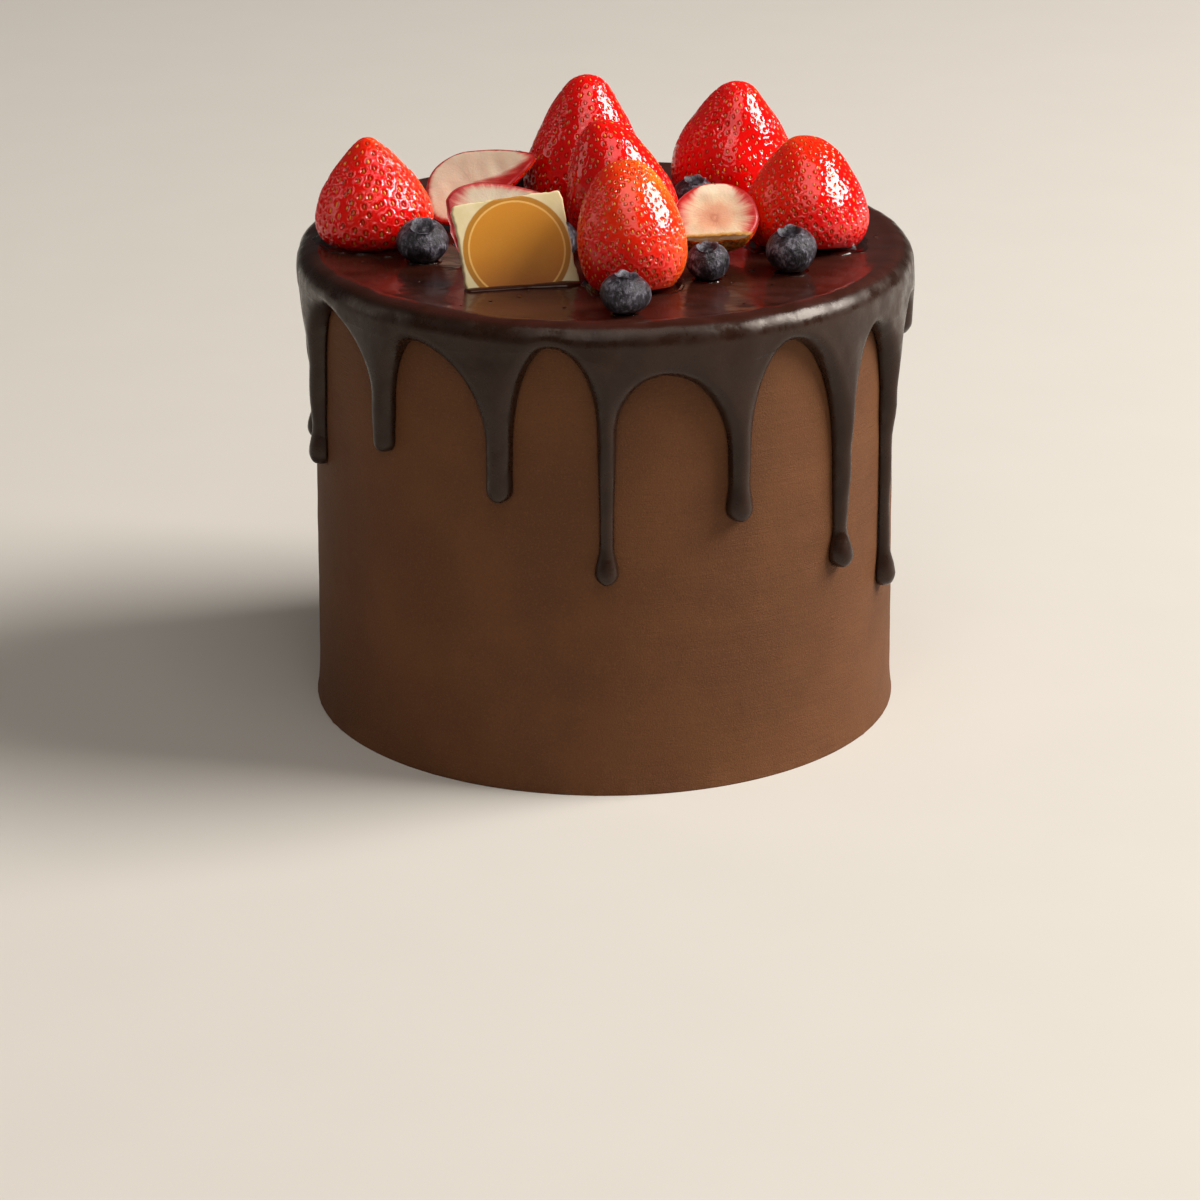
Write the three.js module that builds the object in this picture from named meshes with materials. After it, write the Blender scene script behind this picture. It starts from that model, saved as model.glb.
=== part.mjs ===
// A tall round chocolate cake: a smooth buttercream side, a dark poured glaze that runs down it in
// drips, and fresh berries with a thin white chocolate plaque on top.
// Millimetres, +Z up. The origin is the centre of the flat base, and -Y is the front.
// Angles round the cake are in degrees, from the front (-Y) towards +X.

import * as THREE from 'three';
import { mergeVertices } from 'three/addons/utils/BufferGeometryUtils.js';

// ---- driving dimensions ----------------------------------------------------------------------

const GAP = 0.35;                  // between pieces that rest on each other

const CAKE_HEIGHT = 126.65;        // of the coated cake, without the glaze
const CAKE_BASE_RADIUS = 80.4;
const CAKE_TOP_RADIUS = 78.65;
const CAKE_EDGE_RADIUS = 2;        // rounding of its top edge
const FOOT_RADIUS = 81;            // the coating spreads a little at the foot
const FOOT_HEIGHT = 8;

const GLAZE_TOP = 130;             // the level that the toppings stand on
const RIM_THICKNESS = 4.8;         // glaze on the side, just below the rim
const SHOULDER_THICKNESS = 3.9;    // glaze where an apron narrows to a drip
const DRIP_PROUDNESS = 1.15;       // thickness of a drip over its half width
const EDGE_ROUNDING = 3.6;         // width of the rounded edge of the glaze
const SHOULDER_FLARE = 1.3;        // a drip's width at its shoulder over its neck
const BULB_LENGTH = 3.2;           // length of the swelling at a drip's end, in bulb half widths
const NECK_LENGTH = 10;            // a drip with less than this between shoulder and bulb stays wide
const THINNING_LENGTH = 12;        // below its shoulder a drip thins over this length

// One drip per line: its angle, the heights of its tip and of the shoulder where its sides become
// parallel, the half widths of its neck and bulb, and the arch of bare side to its right: the
// angle and the height of the arch's crown.
const DRIPS = [
  { angle: -72.6, tip: 73.2, shoulder: 101, neck: 2.5, bulb: 3.5, archAngle: -62.6, archTop: 121.4 },
  { angle: -45.9, tip: 87.7, shoulder: 102, neck: 2.7, bulb: 3.2, archAngle: -37.3, archTop: 120.4 },
  { angle: -19.8, tip: 80.5, shoulder: 95, neck: 2.7, bulb: 3.5, archAngle: -9.9, archTop: 123 },
  { angle: 0.4, tip: 59.5, shoulder: 100, neck: 1.9, bulb: 3.1, archAngle: 10.8, archTop: 115.7 },
  { angle: 25.8, tip: 74.2, shoulder: 92, neck: 2.3, bulb: 3.6, archAngle: 35.8, archTop: 120.9 },
  { angle: 50.9, tip: 53.6, shoulder: 84, neck: 2.1, bulb: 3.7, archAngle: 58.8, archTop: 117.5 },
  { angle: 70, tip: 39.5, shoulder: 94, neck: 2.0, bulb: 3.7, archAngle: 80, archTop: 116.5 },
  { angle: 92, tip: 101.5, shoulder: 109.5, neck: 3.4, bulb: 4.6, archAngle: 105, archTop: 119.5 },
  { angle: 117, tip: 66.5, shoulder: 95, neck: 2.3, bulb: 3.5, archAngle: 128.5, archTop: 121.5 },
  { angle: 139, tip: 86, shoulder: 101, neck: 2.6, bulb: 3.4, archAngle: 151, archTop: 117.5 },
  { angle: 163, tip: 56.5, shoulder: 90, neck: 2.0, bulb: 3.5, archAngle: 176, archTop: 123 },
  { angle: 187, tip: 77.5, shoulder: 98, neck: 2.5, bulb: 3.4, archAngle: 199, archTop: 118.5 },
  { angle: 212, tip: 63, shoulder: 92, neck: 2.2, bulb: 3.6, archAngle: 225, archTop: 121.5 },
  { angle: 237, tip: 90, shoulder: 103, neck: 2.8, bulb: 3.4, archAngle: 249, archTop: 117 },
  { angle: 262, tip: 68.5, shoulder: 96, neck: 2.2, bulb: 3.5, archAngle: 275, archTop: 122 },
];

// Whole strawberries stand on their hulled ends. x and y place the foot, taper runs from 0 for an
// even oval to about 0.6 for a wide foot and a slim tip, and the tip leans towards a compass angle
// that is counted from +X towards +Y.
const STRAWBERRIES = [
  { x: -61.5, y: -3, radius: 15.9, length: 28, taper: 0.54, lean: 6, towards: 150, colour: 0xc4261a },
  { x: -5.6, y: 23, radius: 17, length: 39, taper: 0.42, lean: 2, towards: -15, colour: 0xba0f14 },
  { x: 8, y: -10, radius: 14.4, length: 36, taper: 0.3, lean: 16, towards: 180, colour: 0xc4161c },
  { x: 7.6, y: -49, radius: 14.3, length: 33.5, taper: 0.22, lean: 13, towards: 105, colour: 0xd63c1a },
  { x: 35.2, y: 38, radius: 17.4, length: 33.5, taper: 0.44, lean: 3, towards: 0, colour: 0xb81016 },
  { x: 54.6, y: -9, radius: 16.4, length: 29.5, taper: 0.34, lean: 14, towards: 100, colour: 0xc8201c },
];

// Strawberries cut in half lengthwise. x, y and z place the centre of the hulled end on the cut
// face, hull is how much of the egg curve that end cuts off, deep is how far the skin side bulges
// for each unit of radius, the tip points along a compass angle and rises, and roll turns the cut
// face towards the right of that direction.
const HALVES = [
  { x: 29.5, y: -25.8, z: 136.6, radius: 11.4, length: 19.5, taper: 0.12, hull: 0.62, deep: 0.74,
    along: 90, rise: 34, roll: -4 },
  { x: -48.2, y: 14, z: 136.9, radius: 12.6, length: 32, taper: 0.58, hull: 0.3, deep: 0.55,
    along: -7, rise: 23, roll: 31 },
  { x: -40.5, y: -21, z: 138.7, radius: 10.2, length: 28, taper: 0.55, hull: 0.5, deep: 0.5,
    along: 8, rise: 12, roll: 61 },
];

// Blueberries are a little flattened, with a star-shaped crown that leans towards a compass angle.
const BLUEBERRIES = [
  { x: -48.4, y: -23, radius: 7, height: 10.8, lean: 28, towards: -60 },
  { x: -23.4, y: 44.7, radius: 6.8, height: 11.5, lean: 20, towards: 30 },
  { x: 5.2, y: -71, radius: 6.6, height: 10.6, lean: 16, towards: -50 },
  { x: 27, y: -40.5, radius: 5.7, height: 9.8, lean: 24, towards: -110 },
  { x: 49.2, y: -33, radius: 6.8, height: 11.8, lean: 22, towards: -75 },
  { x: 24.6, y: 16, radius: 6.1, height: 12.4, lean: 18, towards: -90 },
  { x: -12.6, y: -23, radius: 5.7, height: 11, lean: 30, towards: 120 },
];
const CROWN_RADIUS = 2.6;
const CROWN_HEIGHT = 0.7;
const CROWN_POINTS = 5;

const PLAQUE = { x: -23.1, y: -42.7, side: 29.8, thickness: 2.2, turn: 13.2, lean: 25.6, tilt: -5.5 };
const PLAQUE_MIDDLE = 7.6;         // height of its middle above the glaze
const PLAQUE_CHAMFER = 0.4;

const HULL_ANGLE = 0.62;           // radians of the egg curve that a whole one's hulled end cuts off
const TIP_BLUNTNESS = 0.85;        // below 1 the tip is blunter than the egg curve's
const SEED_PIT = 0.4;              // depth of the seed pits

// ---- fineness --------------------------------------------------------------------------------

const CAKE_SEGMENTS = 72;
const OUTER_COLUMNS = 6;           // across one drip and its apron, outside and inside
const INNER_COLUMNS = 4;
const STRAWBERRY_COLUMNS = 24;
const STRAWBERRY_ROWS = 13;
const HALF_COLUMNS = 12;
const HALF_ROWS = 11;
const BLUEBERRY_COLUMNS = 15;
const BLUEBERRY_ROWS = [0.13, 0.3, 0.47, 0.64, 0.82, 1];   // from the foot to the crown

// ---- small tools -----------------------------------------------------------------------------

const radians = THREE.MathUtils.degToRad;
const mix = THREE.MathUtils.lerp;
const smooth = THREE.MathUtils.smoothstep;
const range = (count) => Array.from({ length: count }, (_, i) => i);

// A geometry from corner points, three to a triangle. Triangles that shrink to a line are dropped.
function solidFromTriangles(triangles) {
  const solid = new THREE.BufferGeometry();
  const numbers = triangles.flat().flatMap((p) => [p.x, p.y, p.z]);
  solid.setAttribute('position', new THREE.Float32BufferAttribute(numbers, 3));
  const merged = mergeVertices(solid, 1e-3);
  const index = Array.from(merged.index.array);
  const kept = [];
  for (let i = 0; i < index.length; i += 3) {
    const [a, b, c] = index.slice(i, i + 3);
    if (a !== b && b !== c && c !== a) kept.push(a, b, c);
  }
  merged.setIndex(kept);
  merged.computeVertexNormals();
  return merged;
}

// A closed solid through a row of rings with equal numbers of points, closed by a fan to one point
// at each end. The rings turn anticlockwise as seen from the last one.
function loft(rings, start, end) {
  const count = rings[0].length;
  const triangles = [];
  for (const i of range(count)) {
    const next = (i + 1) % count;
    triangles.push([start, rings[0][next], rings[0][i]]);
    for (let j = 0; j + 1 < rings.length; j++) {
      const [a, b] = [rings[j][i], rings[j][next]];
      const [c, d] = [rings[j + 1][next], rings[j + 1][i]];
      triangles.push([a, b, c], [a, c, d]);
    }
    triangles.push([rings.at(-1)[i], rings.at(-1)[next], end]);
  }
  return solidFromTriangles(triangles);
}

// Leans a shape so that its axis points lean degrees away from upright, towards a compass angle.
function leaning(lean, towards) {
  const axis = new THREE.Vector3(-Math.sin(radians(towards)), Math.cos(radians(towards)), 0);
  return new THREE.Matrix4().makeRotationAxis(axis, radians(lean));
}

// Sets points down on the glaze: whatever would sink into it is flattened against it.
function settle(points) {
  const level = GLAZE_TOP + GAP;
  for (const p of points) p.z = Math.max(p.z, level);
}

function mesh(name, geometry, colour, roughness) {
  const material = new THREE.MeshStandardMaterial({ color: colour, roughness, metalness: 0 });
  const piece = new THREE.Mesh(geometry, material);
  piece.name = name;
  return piece;
}

// ---- the coated cake -------------------------------------------------------------------------

const sideTop = CAKE_HEIGHT - CAKE_EDGE_RADIUS;
const cakeRadius = (z) => mix(CAKE_BASE_RADIUS, CAKE_TOP_RADIUS, z / sideTop);

function cake() {
  const profile = [new THREE.Vector2(0, 0), new THREE.Vector2(FOOT_RADIUS, 0)];
  profile.push(new THREE.Vector2(FOOT_RADIUS, FOOT_HEIGHT * 0.2));
  profile.push(new THREE.Vector2(mix(cakeRadius(0), FOOT_RADIUS, 0.4), FOOT_HEIGHT * 0.5));
  profile.push(new THREE.Vector2(cakeRadius(FOOT_HEIGHT), FOOT_HEIGHT));
  for (const turn of [0, 30, 60, 90]) {
    const out = CAKE_TOP_RADIUS - CAKE_EDGE_RADIUS * (1 - Math.cos(radians(turn)));
    profile.push(new THREE.Vector2(out, sideTop + CAKE_EDGE_RADIUS * Math.sin(radians(turn))));
  }
  profile.push(new THREE.Vector2(0, CAKE_HEIGHT));
  return new THREE.LatheGeometry(profile, CAKE_SEGMENTS).rotateX(Math.PI / 2);
}

// ---- the glaze -------------------------------------------------------------------------------
// The glaze is worked out on the cake's surface, unrolled: an angle round the cake, and a climb
// that is the height on the side and goes on round the top edge. Each drip has an apron that
// reaches from the crown of the arch on its left to the crown of the arch on its right.

const edgeRadius = CAKE_EDGE_RADIUS + GAP;
const edgeTurn = Math.PI / 2 * edgeRadius;      // the climb from the side to the top
const topThickness = GLAZE_TOP - CAKE_HEIGHT - GAP;
const degreesToArc = radians(CAKE_TOP_RADIUS + GAP);

// The point of the glaze over an angle and a climb, with a given thickness.
function glazePoint(angle, climb, thickness) {
  const turn = THREE.MathUtils.clamp((climb - sideTop) / edgeRadius, 0, Math.PI / 2);
  const height = Math.min(climb, sideTop);
  const inner = cakeRadius(height) + GAP - edgeRadius * (1 - Math.cos(turn));
  const radius = inner + thickness * Math.cos(turn);
  const z = height + (edgeRadius + thickness) * Math.sin(turn);
  return new THREE.Vector3(radius * Math.sin(radians(angle)), -radius * Math.cos(radians(angle)), z);
}

// The drips with the crowns on both sides; the first one's left crown belongs to the last drip.
const drips = DRIPS.map((drip, i) => {
  const left = DRIPS.at(i - 1);
  const wrap = i === 0 ? 360 : 0;
  return { ...drip, leftAngle: left.archAngle - wrap, leftTop: left.archTop };
});

const ARCH_ROWS = 4;
const NECK_ROWS = 2;

// The rows of a drip below its apron. Each gives how far the arches have closed in, from 0 at the
// crowns to 1 at the shoulder, and below that the height and half width of the drip itself.
function dripRows({ tip, shoulder, neck, bulb }) {
  const rows = range(ARCH_ROWS).map((j) => ({ closing: (j + 1) / ARCH_ROWS }));
  const bulbTop = tip + BULB_LENGTH * bulb;
  const narrowing = THREE.MathUtils.clamp((shoulder - bulbTop) / NECK_LENGTH, 0, 1);
  const waist = neck * mix(SHOULDER_FLARE, 1, narrowing);
  for (const j of range(NECK_ROWS)) {
    const down = (j + 1) / NECK_ROWS;
    const z = mix(shoulder, Math.min(bulbTop, shoulder - 1), down);
    rows.push({ closing: 1, z, half: mix(neck * SHOULDER_FLARE, waist, down) });
  }
  rows.push({ closing: 1, z: Math.min(tip + 2 * bulb, shoulder - 2), half: mix(waist, bulb, 0.6) });
  for (const turn of [0, 35, 65]) {
    const z = tip + bulb * (1 - Math.sin(radians(turn)));
    rows.push({ closing: 1, z, half: bulb * Math.cos(radians(turn)) });
  }
  rows.push({ closing: 1, z: tip, half: 0 });
  return rows;
}

// The crown line of a drip's apron at one column: a smooth climb from the left crown to the right.
const crownLine = (drip, column) => mix(drip.leftTop, drip.archTop, smooth(column, -1, 1));

// Angle, climb and full thickness of the glaze at a drip's column, from -1 at its left edge to 1
// at its right edge, on one of its rows. The sides of the arches are quarter ellipses.
function dripPlace(drip, column, row) {
  const reach = column < 0 ? drip.angle - drip.leftAngle : drip.archAngle - drip.angle;
  const span = reach * degreesToArc;
  const flare = drip.neck * SHOULDER_FLARE;
  const turn = row.closing * Math.PI / 2;
  const line = crownLine(drip, column);
  const half = row.half ?? span - (span - flare) * Math.sin(turn);
  const climb = row.z ?? line - (line - drip.shoulder) * (1 - Math.cos(turn));
  const slim = DRIP_PROUDNESS * Math.max(half, drip.neck);
  const apron = mix(RIM_THICKNESS, Math.max(SHOULDER_THICKNESS, slim), 1 - Math.cos(turn));
  const below = smooth(drip.shoulder - climb, 0, THINNING_LENGTH);
  const full = row.z === undefined ? apron : mix(Math.max(SHOULDER_THICKNESS, slim), slim, below);
  return { angle: drip.angle + column * half / degreesToArc, climb, full };
}

// The free edge of the glaze as a line of unrolled points, from drip to drip.
const edge = drips.flatMap((drip) => {
  const rows = [{ closing: 0 }, ...dripRows(drip)];
  const left = rows.map((row) => dripPlace(drip, -1, row));
  const right = rows.map((row) => dripPlace(drip, 1, row)).reverse();
  return [...left, ...right].map(({ angle, climb }) => [angle * degreesToArc, climb]);
});

// Distance from an unrolled point to the free edge, with the line repeated past both ends.
function distanceToEdge(angle, climb) {
  const around = 360 * degreesToArc;
  let nearest = Infinity;
  for (const shift of [-around, 0, around]) {
    const x = angle * degreesToArc + shift;
    for (let i = 0; i + 1 < edge.length; i++) {
      const [ax, ay] = edge[i];
      const [dx, dy] = [edge[i + 1][0] - ax, edge[i + 1][1] - ay];
      const along = ((x - ax) * dx + (climb - ay) * dy) / (dx * dx + dy * dy || 1);
      const t = THREE.MathUtils.clamp(along, 0, 1);
      nearest = Math.min(nearest, Math.hypot(x - ax - t * dx, climb - ay - t * dy));
    }
  }
  return nearest;
}

// The outer skin curves down to nothing at the free edge, as a quarter ellipse.
function outerPoint({ angle, climb, full }, half = Infinity) {
  const width = Math.min(EDGE_ROUNDING, Math.max(half, 0.1));
  const inwards = 1 - Math.min(distanceToEdge(angle, climb) / width, 1);
  return glazePoint(angle, climb, full * Math.sqrt(1 - inwards * inwards));
}

const innerPoint = ({ angle, climb }) => glazePoint(angle, climb, 0);

// Columns across a drip: the outer ones are spaced as the points of a half circle seen from above.
const outerColumns = range(OUTER_COLUMNS + 1).map((i) => -Math.cos(Math.PI * i / OUTER_COLUMNS));
const innerColumns = range(INNER_COLUMNS + 1).map((i) => 2 * i / INNER_COLUMNS - 1);

const BAND = [0.15, 0.5, 1];       // rows from the crown line to the cake's top edge
const EDGE_TURNS = [0.25, 0.5, 0.75, 1];
const TOP_RING = 0.6;              // radius of the one ring on the glaze's top over the whole

// One side of the glaze, as columns of points from the middle of the top down to each drip's tip.
// The columns of neighbouring drips meet above the crown of the arch between them.
function glazeColumns(drip, columns, point, bandRows, edgeTurns) {
  return columns.map((column) => {
    const crown = dripPlace(drip, column, { closing: 0 });
    const line = crownLine(drip, column);
    const onTop = [...edgeTurns].reverse().map((turn) => {
      const full = mix(RIM_THICKNESS, topThickness, turn);
      return point({ angle: crown.angle, climb: sideTop + edgeTurn * turn, full });
    });
    const [outermost] = onTop;
    const middle = new THREE.Vector3(0, 0, outermost.z);
    const ring = middle.clone().lerp(outermost, TOP_RING);
    const onSide = [...bandRows].reverse().map((up) => {
      return point({ angle: crown.angle, climb: mix(line, sideTop, up), full: RIM_THICKNESS });
    });
    const onDrip = [{ closing: 0 }, ...dripRows(drip)].map((row) => {
      return point(dripPlace(drip, column, row), row.half);
    });
    return [middle, ring, ...onTop, ...onSide, ...onDrip];
  });
}

function gridTriangles(columns, inwards) {
  const triangles = [];
  for (let i = 0; i + 1 < columns.length; i++) {
    for (let j = 0; j + 1 < columns[i].length; j++) {
      const [a, b] = [columns[i][j], columns[i + 1][j]];
      const [c, d] = [columns[i + 1][j + 1], columns[i][j + 1]];
      const faces = [[a, c, b], [a, d, c]];
      triangles.push(...(inwards ? faces.map((face) => face.reverse()) : faces));
    }
  }
  return triangles;
}

function glaze() {
  const triangles = drips.flatMap((drip) => {
    const outside = glazeColumns(drip, outerColumns, outerPoint, BAND, EDGE_TURNS);
    const inside = glazeColumns(drip, innerColumns, innerPoint, [1], [0.5, 1]);
    return [...gridTriangles(outside, false), ...gridTriangles(inside, true)];
  });
  return solidFromTriangles(triangles);
}

// ---- berries ---------------------------------------------------------------------------------

// Half width of a strawberry of unit radius, at an angle along its egg curve: the sine of an even
// oval, made fuller towards the foot by the taper.
function eggRadius(turn, taper) {
  const peak = (Math.sqrt(1 + 8 * taper * taper) - 1) / (4 * taper);
  const egg = (t, c) => Math.sin(t) ** TIP_BLUNTNESS * (1 + taper * c);
  return egg(turn, Math.cos(turn)) / egg(Math.acos(peak), peak);
}

// Height along the axis for the same angle, from 0 at the hulled end to 1 at the tip.
const eggHeight = (turn, hull) => (Math.cos(hull) - Math.cos(turn)) / (1 + Math.cos(hull));
const eggTurns = (rows, hull) => range(rows).map((j) => mix(hull, Math.PI, j / rows));

function strawberry({ x, y, radius, length, taper, lean, towards }) {
  const rings = eggTurns(STRAWBERRY_ROWS, HULL_ANGLE).map((turn, row) => {
    const up = length * eggHeight(turn, HULL_ANGLE);
    return range(STRAWBERRY_COLUMNS).map((i) => {
      const pit = row > 0 && (i + 2 * (row % 2)) % 4 === 0 ? SEED_PIT : 0;
      const out = radius * eggRadius(turn, taper) - pit;
      const angle = 2 * Math.PI * i / STRAWBERRY_COLUMNS;
      return new THREE.Vector3(out * Math.cos(angle), out * Math.sin(angle), up);
    });
  });
  const start = new THREE.Vector3(0, 0, 0);
  const end = new THREE.Vector3(0, 0, length);
  const points = [...rings.flat(), start, end];
  const place = new THREE.Vector3(x, y, GLAZE_TOP + GAP);
  for (const p of points) p.applyMatrix4(leaning(lean, towards)).add(place);
  settle(points);
  return loft(rings, start, end);
}

// The rings of a half run round its skin and back across the flat cut face.
function strawberryHalf({ x, y, z, radius, length, taper, hull, deep, along, rise, roll }) {
  const rings = eggTurns(HALF_ROWS, hull).map((turn) => {
    const out = radius * eggRadius(turn, taper);
    const up = length * eggHeight(turn, hull);
    const skin = range(HALF_COLUMNS + 1).map((i) => {
      const angle = Math.PI * i / HALF_COLUMNS;
      return new THREE.Vector3(out * Math.cos(angle), -deep * out * Math.sin(angle), up);
    });
    const face = [-0.5, 0, 0.5].map((across) => new THREE.Vector3(out * across, 0, up));
    return [...skin, ...face];
  });
  const start = new THREE.Vector3(0, -deep * radius * 0.3, 0);
  const end = new THREE.Vector3(0, 0, length);
  const tipDirection = new THREE.Vector3(Math.cos(radians(along)), Math.sin(radians(along)), 0);
  tipDirection.multiplyScalar(Math.cos(radians(rise))).setZ(Math.sin(radians(rise)));
  const right = new THREE.Vector3(Math.sin(radians(along)), -Math.cos(radians(along)), 0);
  const normal = right.clone().cross(tipDirection).applyAxisAngle(tipDirection, radians(roll));
  const across = right.clone().applyAxisAngle(tipDirection, radians(roll));
  const turned = new THREE.Matrix4().makeBasis(across, normal, tipDirection).setPosition(x, y, z);
  const points = [...rings.flat(), start, end];
  for (const p of points) p.applyMatrix4(turned);
  settle(points);
  return loft(rings, start, end);
}

function blueberry({ x, y, radius, height, lean, towards }) {
  const crownTurn = Math.asin(CROWN_RADIUS / radius);
  const turns = BLUEBERRY_ROWS.map((part) => part * (Math.PI - crownTurn));
  const ring = (out, up, star) => range(BLUEBERRY_COLUMNS).map((i) => {
    const angle = 2 * Math.PI * i / BLUEBERRY_COLUMNS;
    const point = star * Math.cos(CROWN_POINTS * angle);
    return new THREE.Vector3(out * Math.cos(angle), out * Math.sin(angle), up + point);
  });
  const rings = turns.map((turn) => ring(radius * Math.sin(turn), -height / 2 * Math.cos(turn), 0));
  const brow = -height / 2 * Math.cos(turns.at(-1));
  rings.push(ring(CROWN_RADIUS * 0.95, brow + CROWN_HEIGHT, CROWN_HEIGHT / 2));
  rings.push(ring(CROWN_RADIUS * 0.55, brow - CROWN_HEIGHT / 2, 0));
  const start = new THREE.Vector3(0, 0, -height / 2);
  const end = new THREE.Vector3(0, 0, brow - CROWN_HEIGHT / 2);
  const points = [...rings.flat(), start, end];
  const place = new THREE.Vector3(x, y, GLAZE_TOP + GAP + height / 2);
  for (const p of points) p.applyMatrix4(leaning(lean, towards)).add(place);
  settle(points);
  return loft(rings, start, end);
}

// ---- the plaque ------------------------------------------------------------------------------
// A square slab that leans back. Its rings are its section, and the lowest one slides along the
// slab until it meets the glaze.

function plaque({ x, y, side, thickness, turn, lean, tilt }) {
  const turned = new THREE.Matrix4().makeRotationZ(radians(turn));
  turned.multiply(new THREE.Matrix4().makeRotationX(radians(-lean)));
  turned.multiply(new THREE.Matrix4().makeRotationY(radians(tilt)));
  turned.setPosition(x, y, GLAZE_TOP + PLAQUE_MIDDLE);
  const up = new THREE.Vector3(0, 0, 1).transformDirection(turned);
  const section = (height, inset) => {
    const [wide, thick] = [side / 2 - inset, thickness / 2 - inset];
    const [a, b] = [wide - PLAQUE_CHAMFER, thick - PLAQUE_CHAMFER];
    const corners = [[a, -thick], [wide, -b], [wide, b], [a, thick]];
    const opposite = corners.map(([u, v]) => [-u, -v]);
    return [...corners, ...opposite].map(([u, v]) => {
      return new THREE.Vector3(u, v, height).applyMatrix4(turned);
    });
  };
  const foot = section(0, 0).map((p) => {
    return p.addScaledVector(up, (GLAZE_TOP + GAP - p.z) / up.z);
  });
  const rings = [foot, section(side / 2 - PLAQUE_CHAMFER, 0), section(side / 2, PLAQUE_CHAMFER)];
  const middle = (ring) => {
    const sum = ring.reduce((total, p) => total.add(p), new THREE.Vector3());
    return sum.divideScalar(ring.length);
  };
  return loft(rings, middle(foot), middle(rings.at(-1)));
}

// ---- the whole cake --------------------------------------------------------------------------

const whole = new THREE.Group();
whole.name = 'chocolate_drip_cake';
whole.add(mesh('cake_body', cake(), 0x6b4630, 0.8));
whole.add(mesh('chocolate_glaze', glaze(), 0x2e201b, 0.35));
STRAWBERRIES.forEach((berry, i) => {
  whole.add(mesh(`strawberry_${i + 1}`, strawberry(berry), berry.colour, 0.3));
});
HALVES.forEach((berry, i) => {
  whole.add(mesh(`strawberry_half_${i + 1}`, strawberryHalf(berry), 0xdf9a7c, 0.4));
});
BLUEBERRIES.forEach((berry, i) => {
  whole.add(mesh(`blueberry_${i + 1}`, blueberry(berry), 0x3a3843, 0.55));
});
whole.add(mesh('chocolate_plaque', plaque(PLAQUE), 0xe0cfa0, 0.45));

export default whole;
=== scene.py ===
"""The looks of a chocolate drip cake: buttercream side, poured dark glaze, syrupy berries, plaque.

Lengths are in millimetres until a mesh is made, and then in metres. +Z is up, the origin is the
centre of the flat base, and -Y is the front. Angles round the cake are in degrees, from the front
towards +X; compass angles are from +X towards +Y. New pieces are surfaces worked out with numpy as
whole arrays.
"""

import math

import bmesh
import bpy
import numpy as np
from mathutils import Matrix


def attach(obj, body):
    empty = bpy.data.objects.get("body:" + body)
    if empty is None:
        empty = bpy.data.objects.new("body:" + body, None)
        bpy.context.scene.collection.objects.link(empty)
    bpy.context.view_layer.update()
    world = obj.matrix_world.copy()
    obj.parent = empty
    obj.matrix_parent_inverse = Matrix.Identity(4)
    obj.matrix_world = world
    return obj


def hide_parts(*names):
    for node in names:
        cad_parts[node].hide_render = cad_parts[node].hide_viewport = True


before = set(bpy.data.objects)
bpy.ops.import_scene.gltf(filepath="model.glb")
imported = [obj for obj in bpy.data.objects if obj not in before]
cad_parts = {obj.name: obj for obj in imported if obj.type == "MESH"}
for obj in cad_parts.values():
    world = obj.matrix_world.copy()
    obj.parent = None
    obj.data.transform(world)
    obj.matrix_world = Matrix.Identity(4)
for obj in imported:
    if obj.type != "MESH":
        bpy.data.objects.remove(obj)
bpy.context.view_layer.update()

MM = 0.001


def table(names, rows):
    """A dict for each row of values, under the columns' names."""
    return [dict(zip(names.split(), row)) for row in rows]


# ---- driving dimensions: the solids', except where a comment says otherwise -------------------

GAP = 0.35                 # between pieces that rest on each other
CAKE_HEIGHT = 126.65       # of the coated cake, without the glaze
CAKE_BASE_RADIUS = 80.4
CAKE_TOP_RADIUS = 78.65
CAKE_EDGE_RADIUS = 2.0     # rounding of its top edge
FOOT_RADIUS = 81.0         # the coating spreads a little at the foot
FOOT_HEIGHT = 8.0

GLAZE_TOP = 130.0          # the level that the toppings rest on
RIM_THICKNESS = 4.8        # glaze on the side, just below the rim
SHOULDER_THICKNESS = 3.9   # glaze where an apron narrows to a drip
DRIP_PROUDNESS = 1.15      # thickness of a drip over its half width
EDGE_ROUNDING = 3.6        # width of the rounded edge of the glaze
SHOULDER_FLARE = 1.3       # a drip's width at its shoulder over its neck
BULB_LENGTH = 3.2          # length of the swelling at a drip's end, in bulb half widths
THINNING_LENGTH = 12.0     # below its shoulder a drip thins over this length

# One drip per line: its angle, the heights of its tip and of the shoulder where its sides become
# parallel, the half widths of its neck and bulb, and the arch of bare side to its right: the
# angle and the height of the arch's crown.
DRIPS = np.array([
    (-72.6, 73.2, 101, 2.5, 3.5, -62.6, 121.4),
    (-45.9, 87.7, 102, 2.7, 3.2, -37.3, 120.4),
    (-19.8, 80.5, 95, 2.7, 3.5, -9.9, 123),
    (0.4, 59.5, 100, 1.9, 3.1, 10.8, 115.7),
    (25.8, 74.2, 92, 2.3, 3.6, 35.8, 120.9),
    (50.9, 53.6, 84, 2.1, 3.7, 58.8, 117.5),
    (70, 39.5, 94, 2.0, 3.7, 80, 116.5),
    (92, 101.5, 109.5, 3.4, 4.6, 105, 119.5),
    (117, 66.5, 95, 2.3, 3.5, 128.5, 121.5),
    (139, 86, 101, 2.6, 3.4, 151, 117.5),
    (163, 56.5, 90, 2.0, 3.5, 176, 123),
    (187, 77.5, 98, 2.5, 3.4, 199, 118.5),
    (212, 63, 92, 2.2, 3.6, 225, 121.5),
    (237, 90, 103, 2.8, 3.4, 249, 117),
    (262, 68.5, 96, 2.2, 3.5, 275, 122),
])

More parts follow.
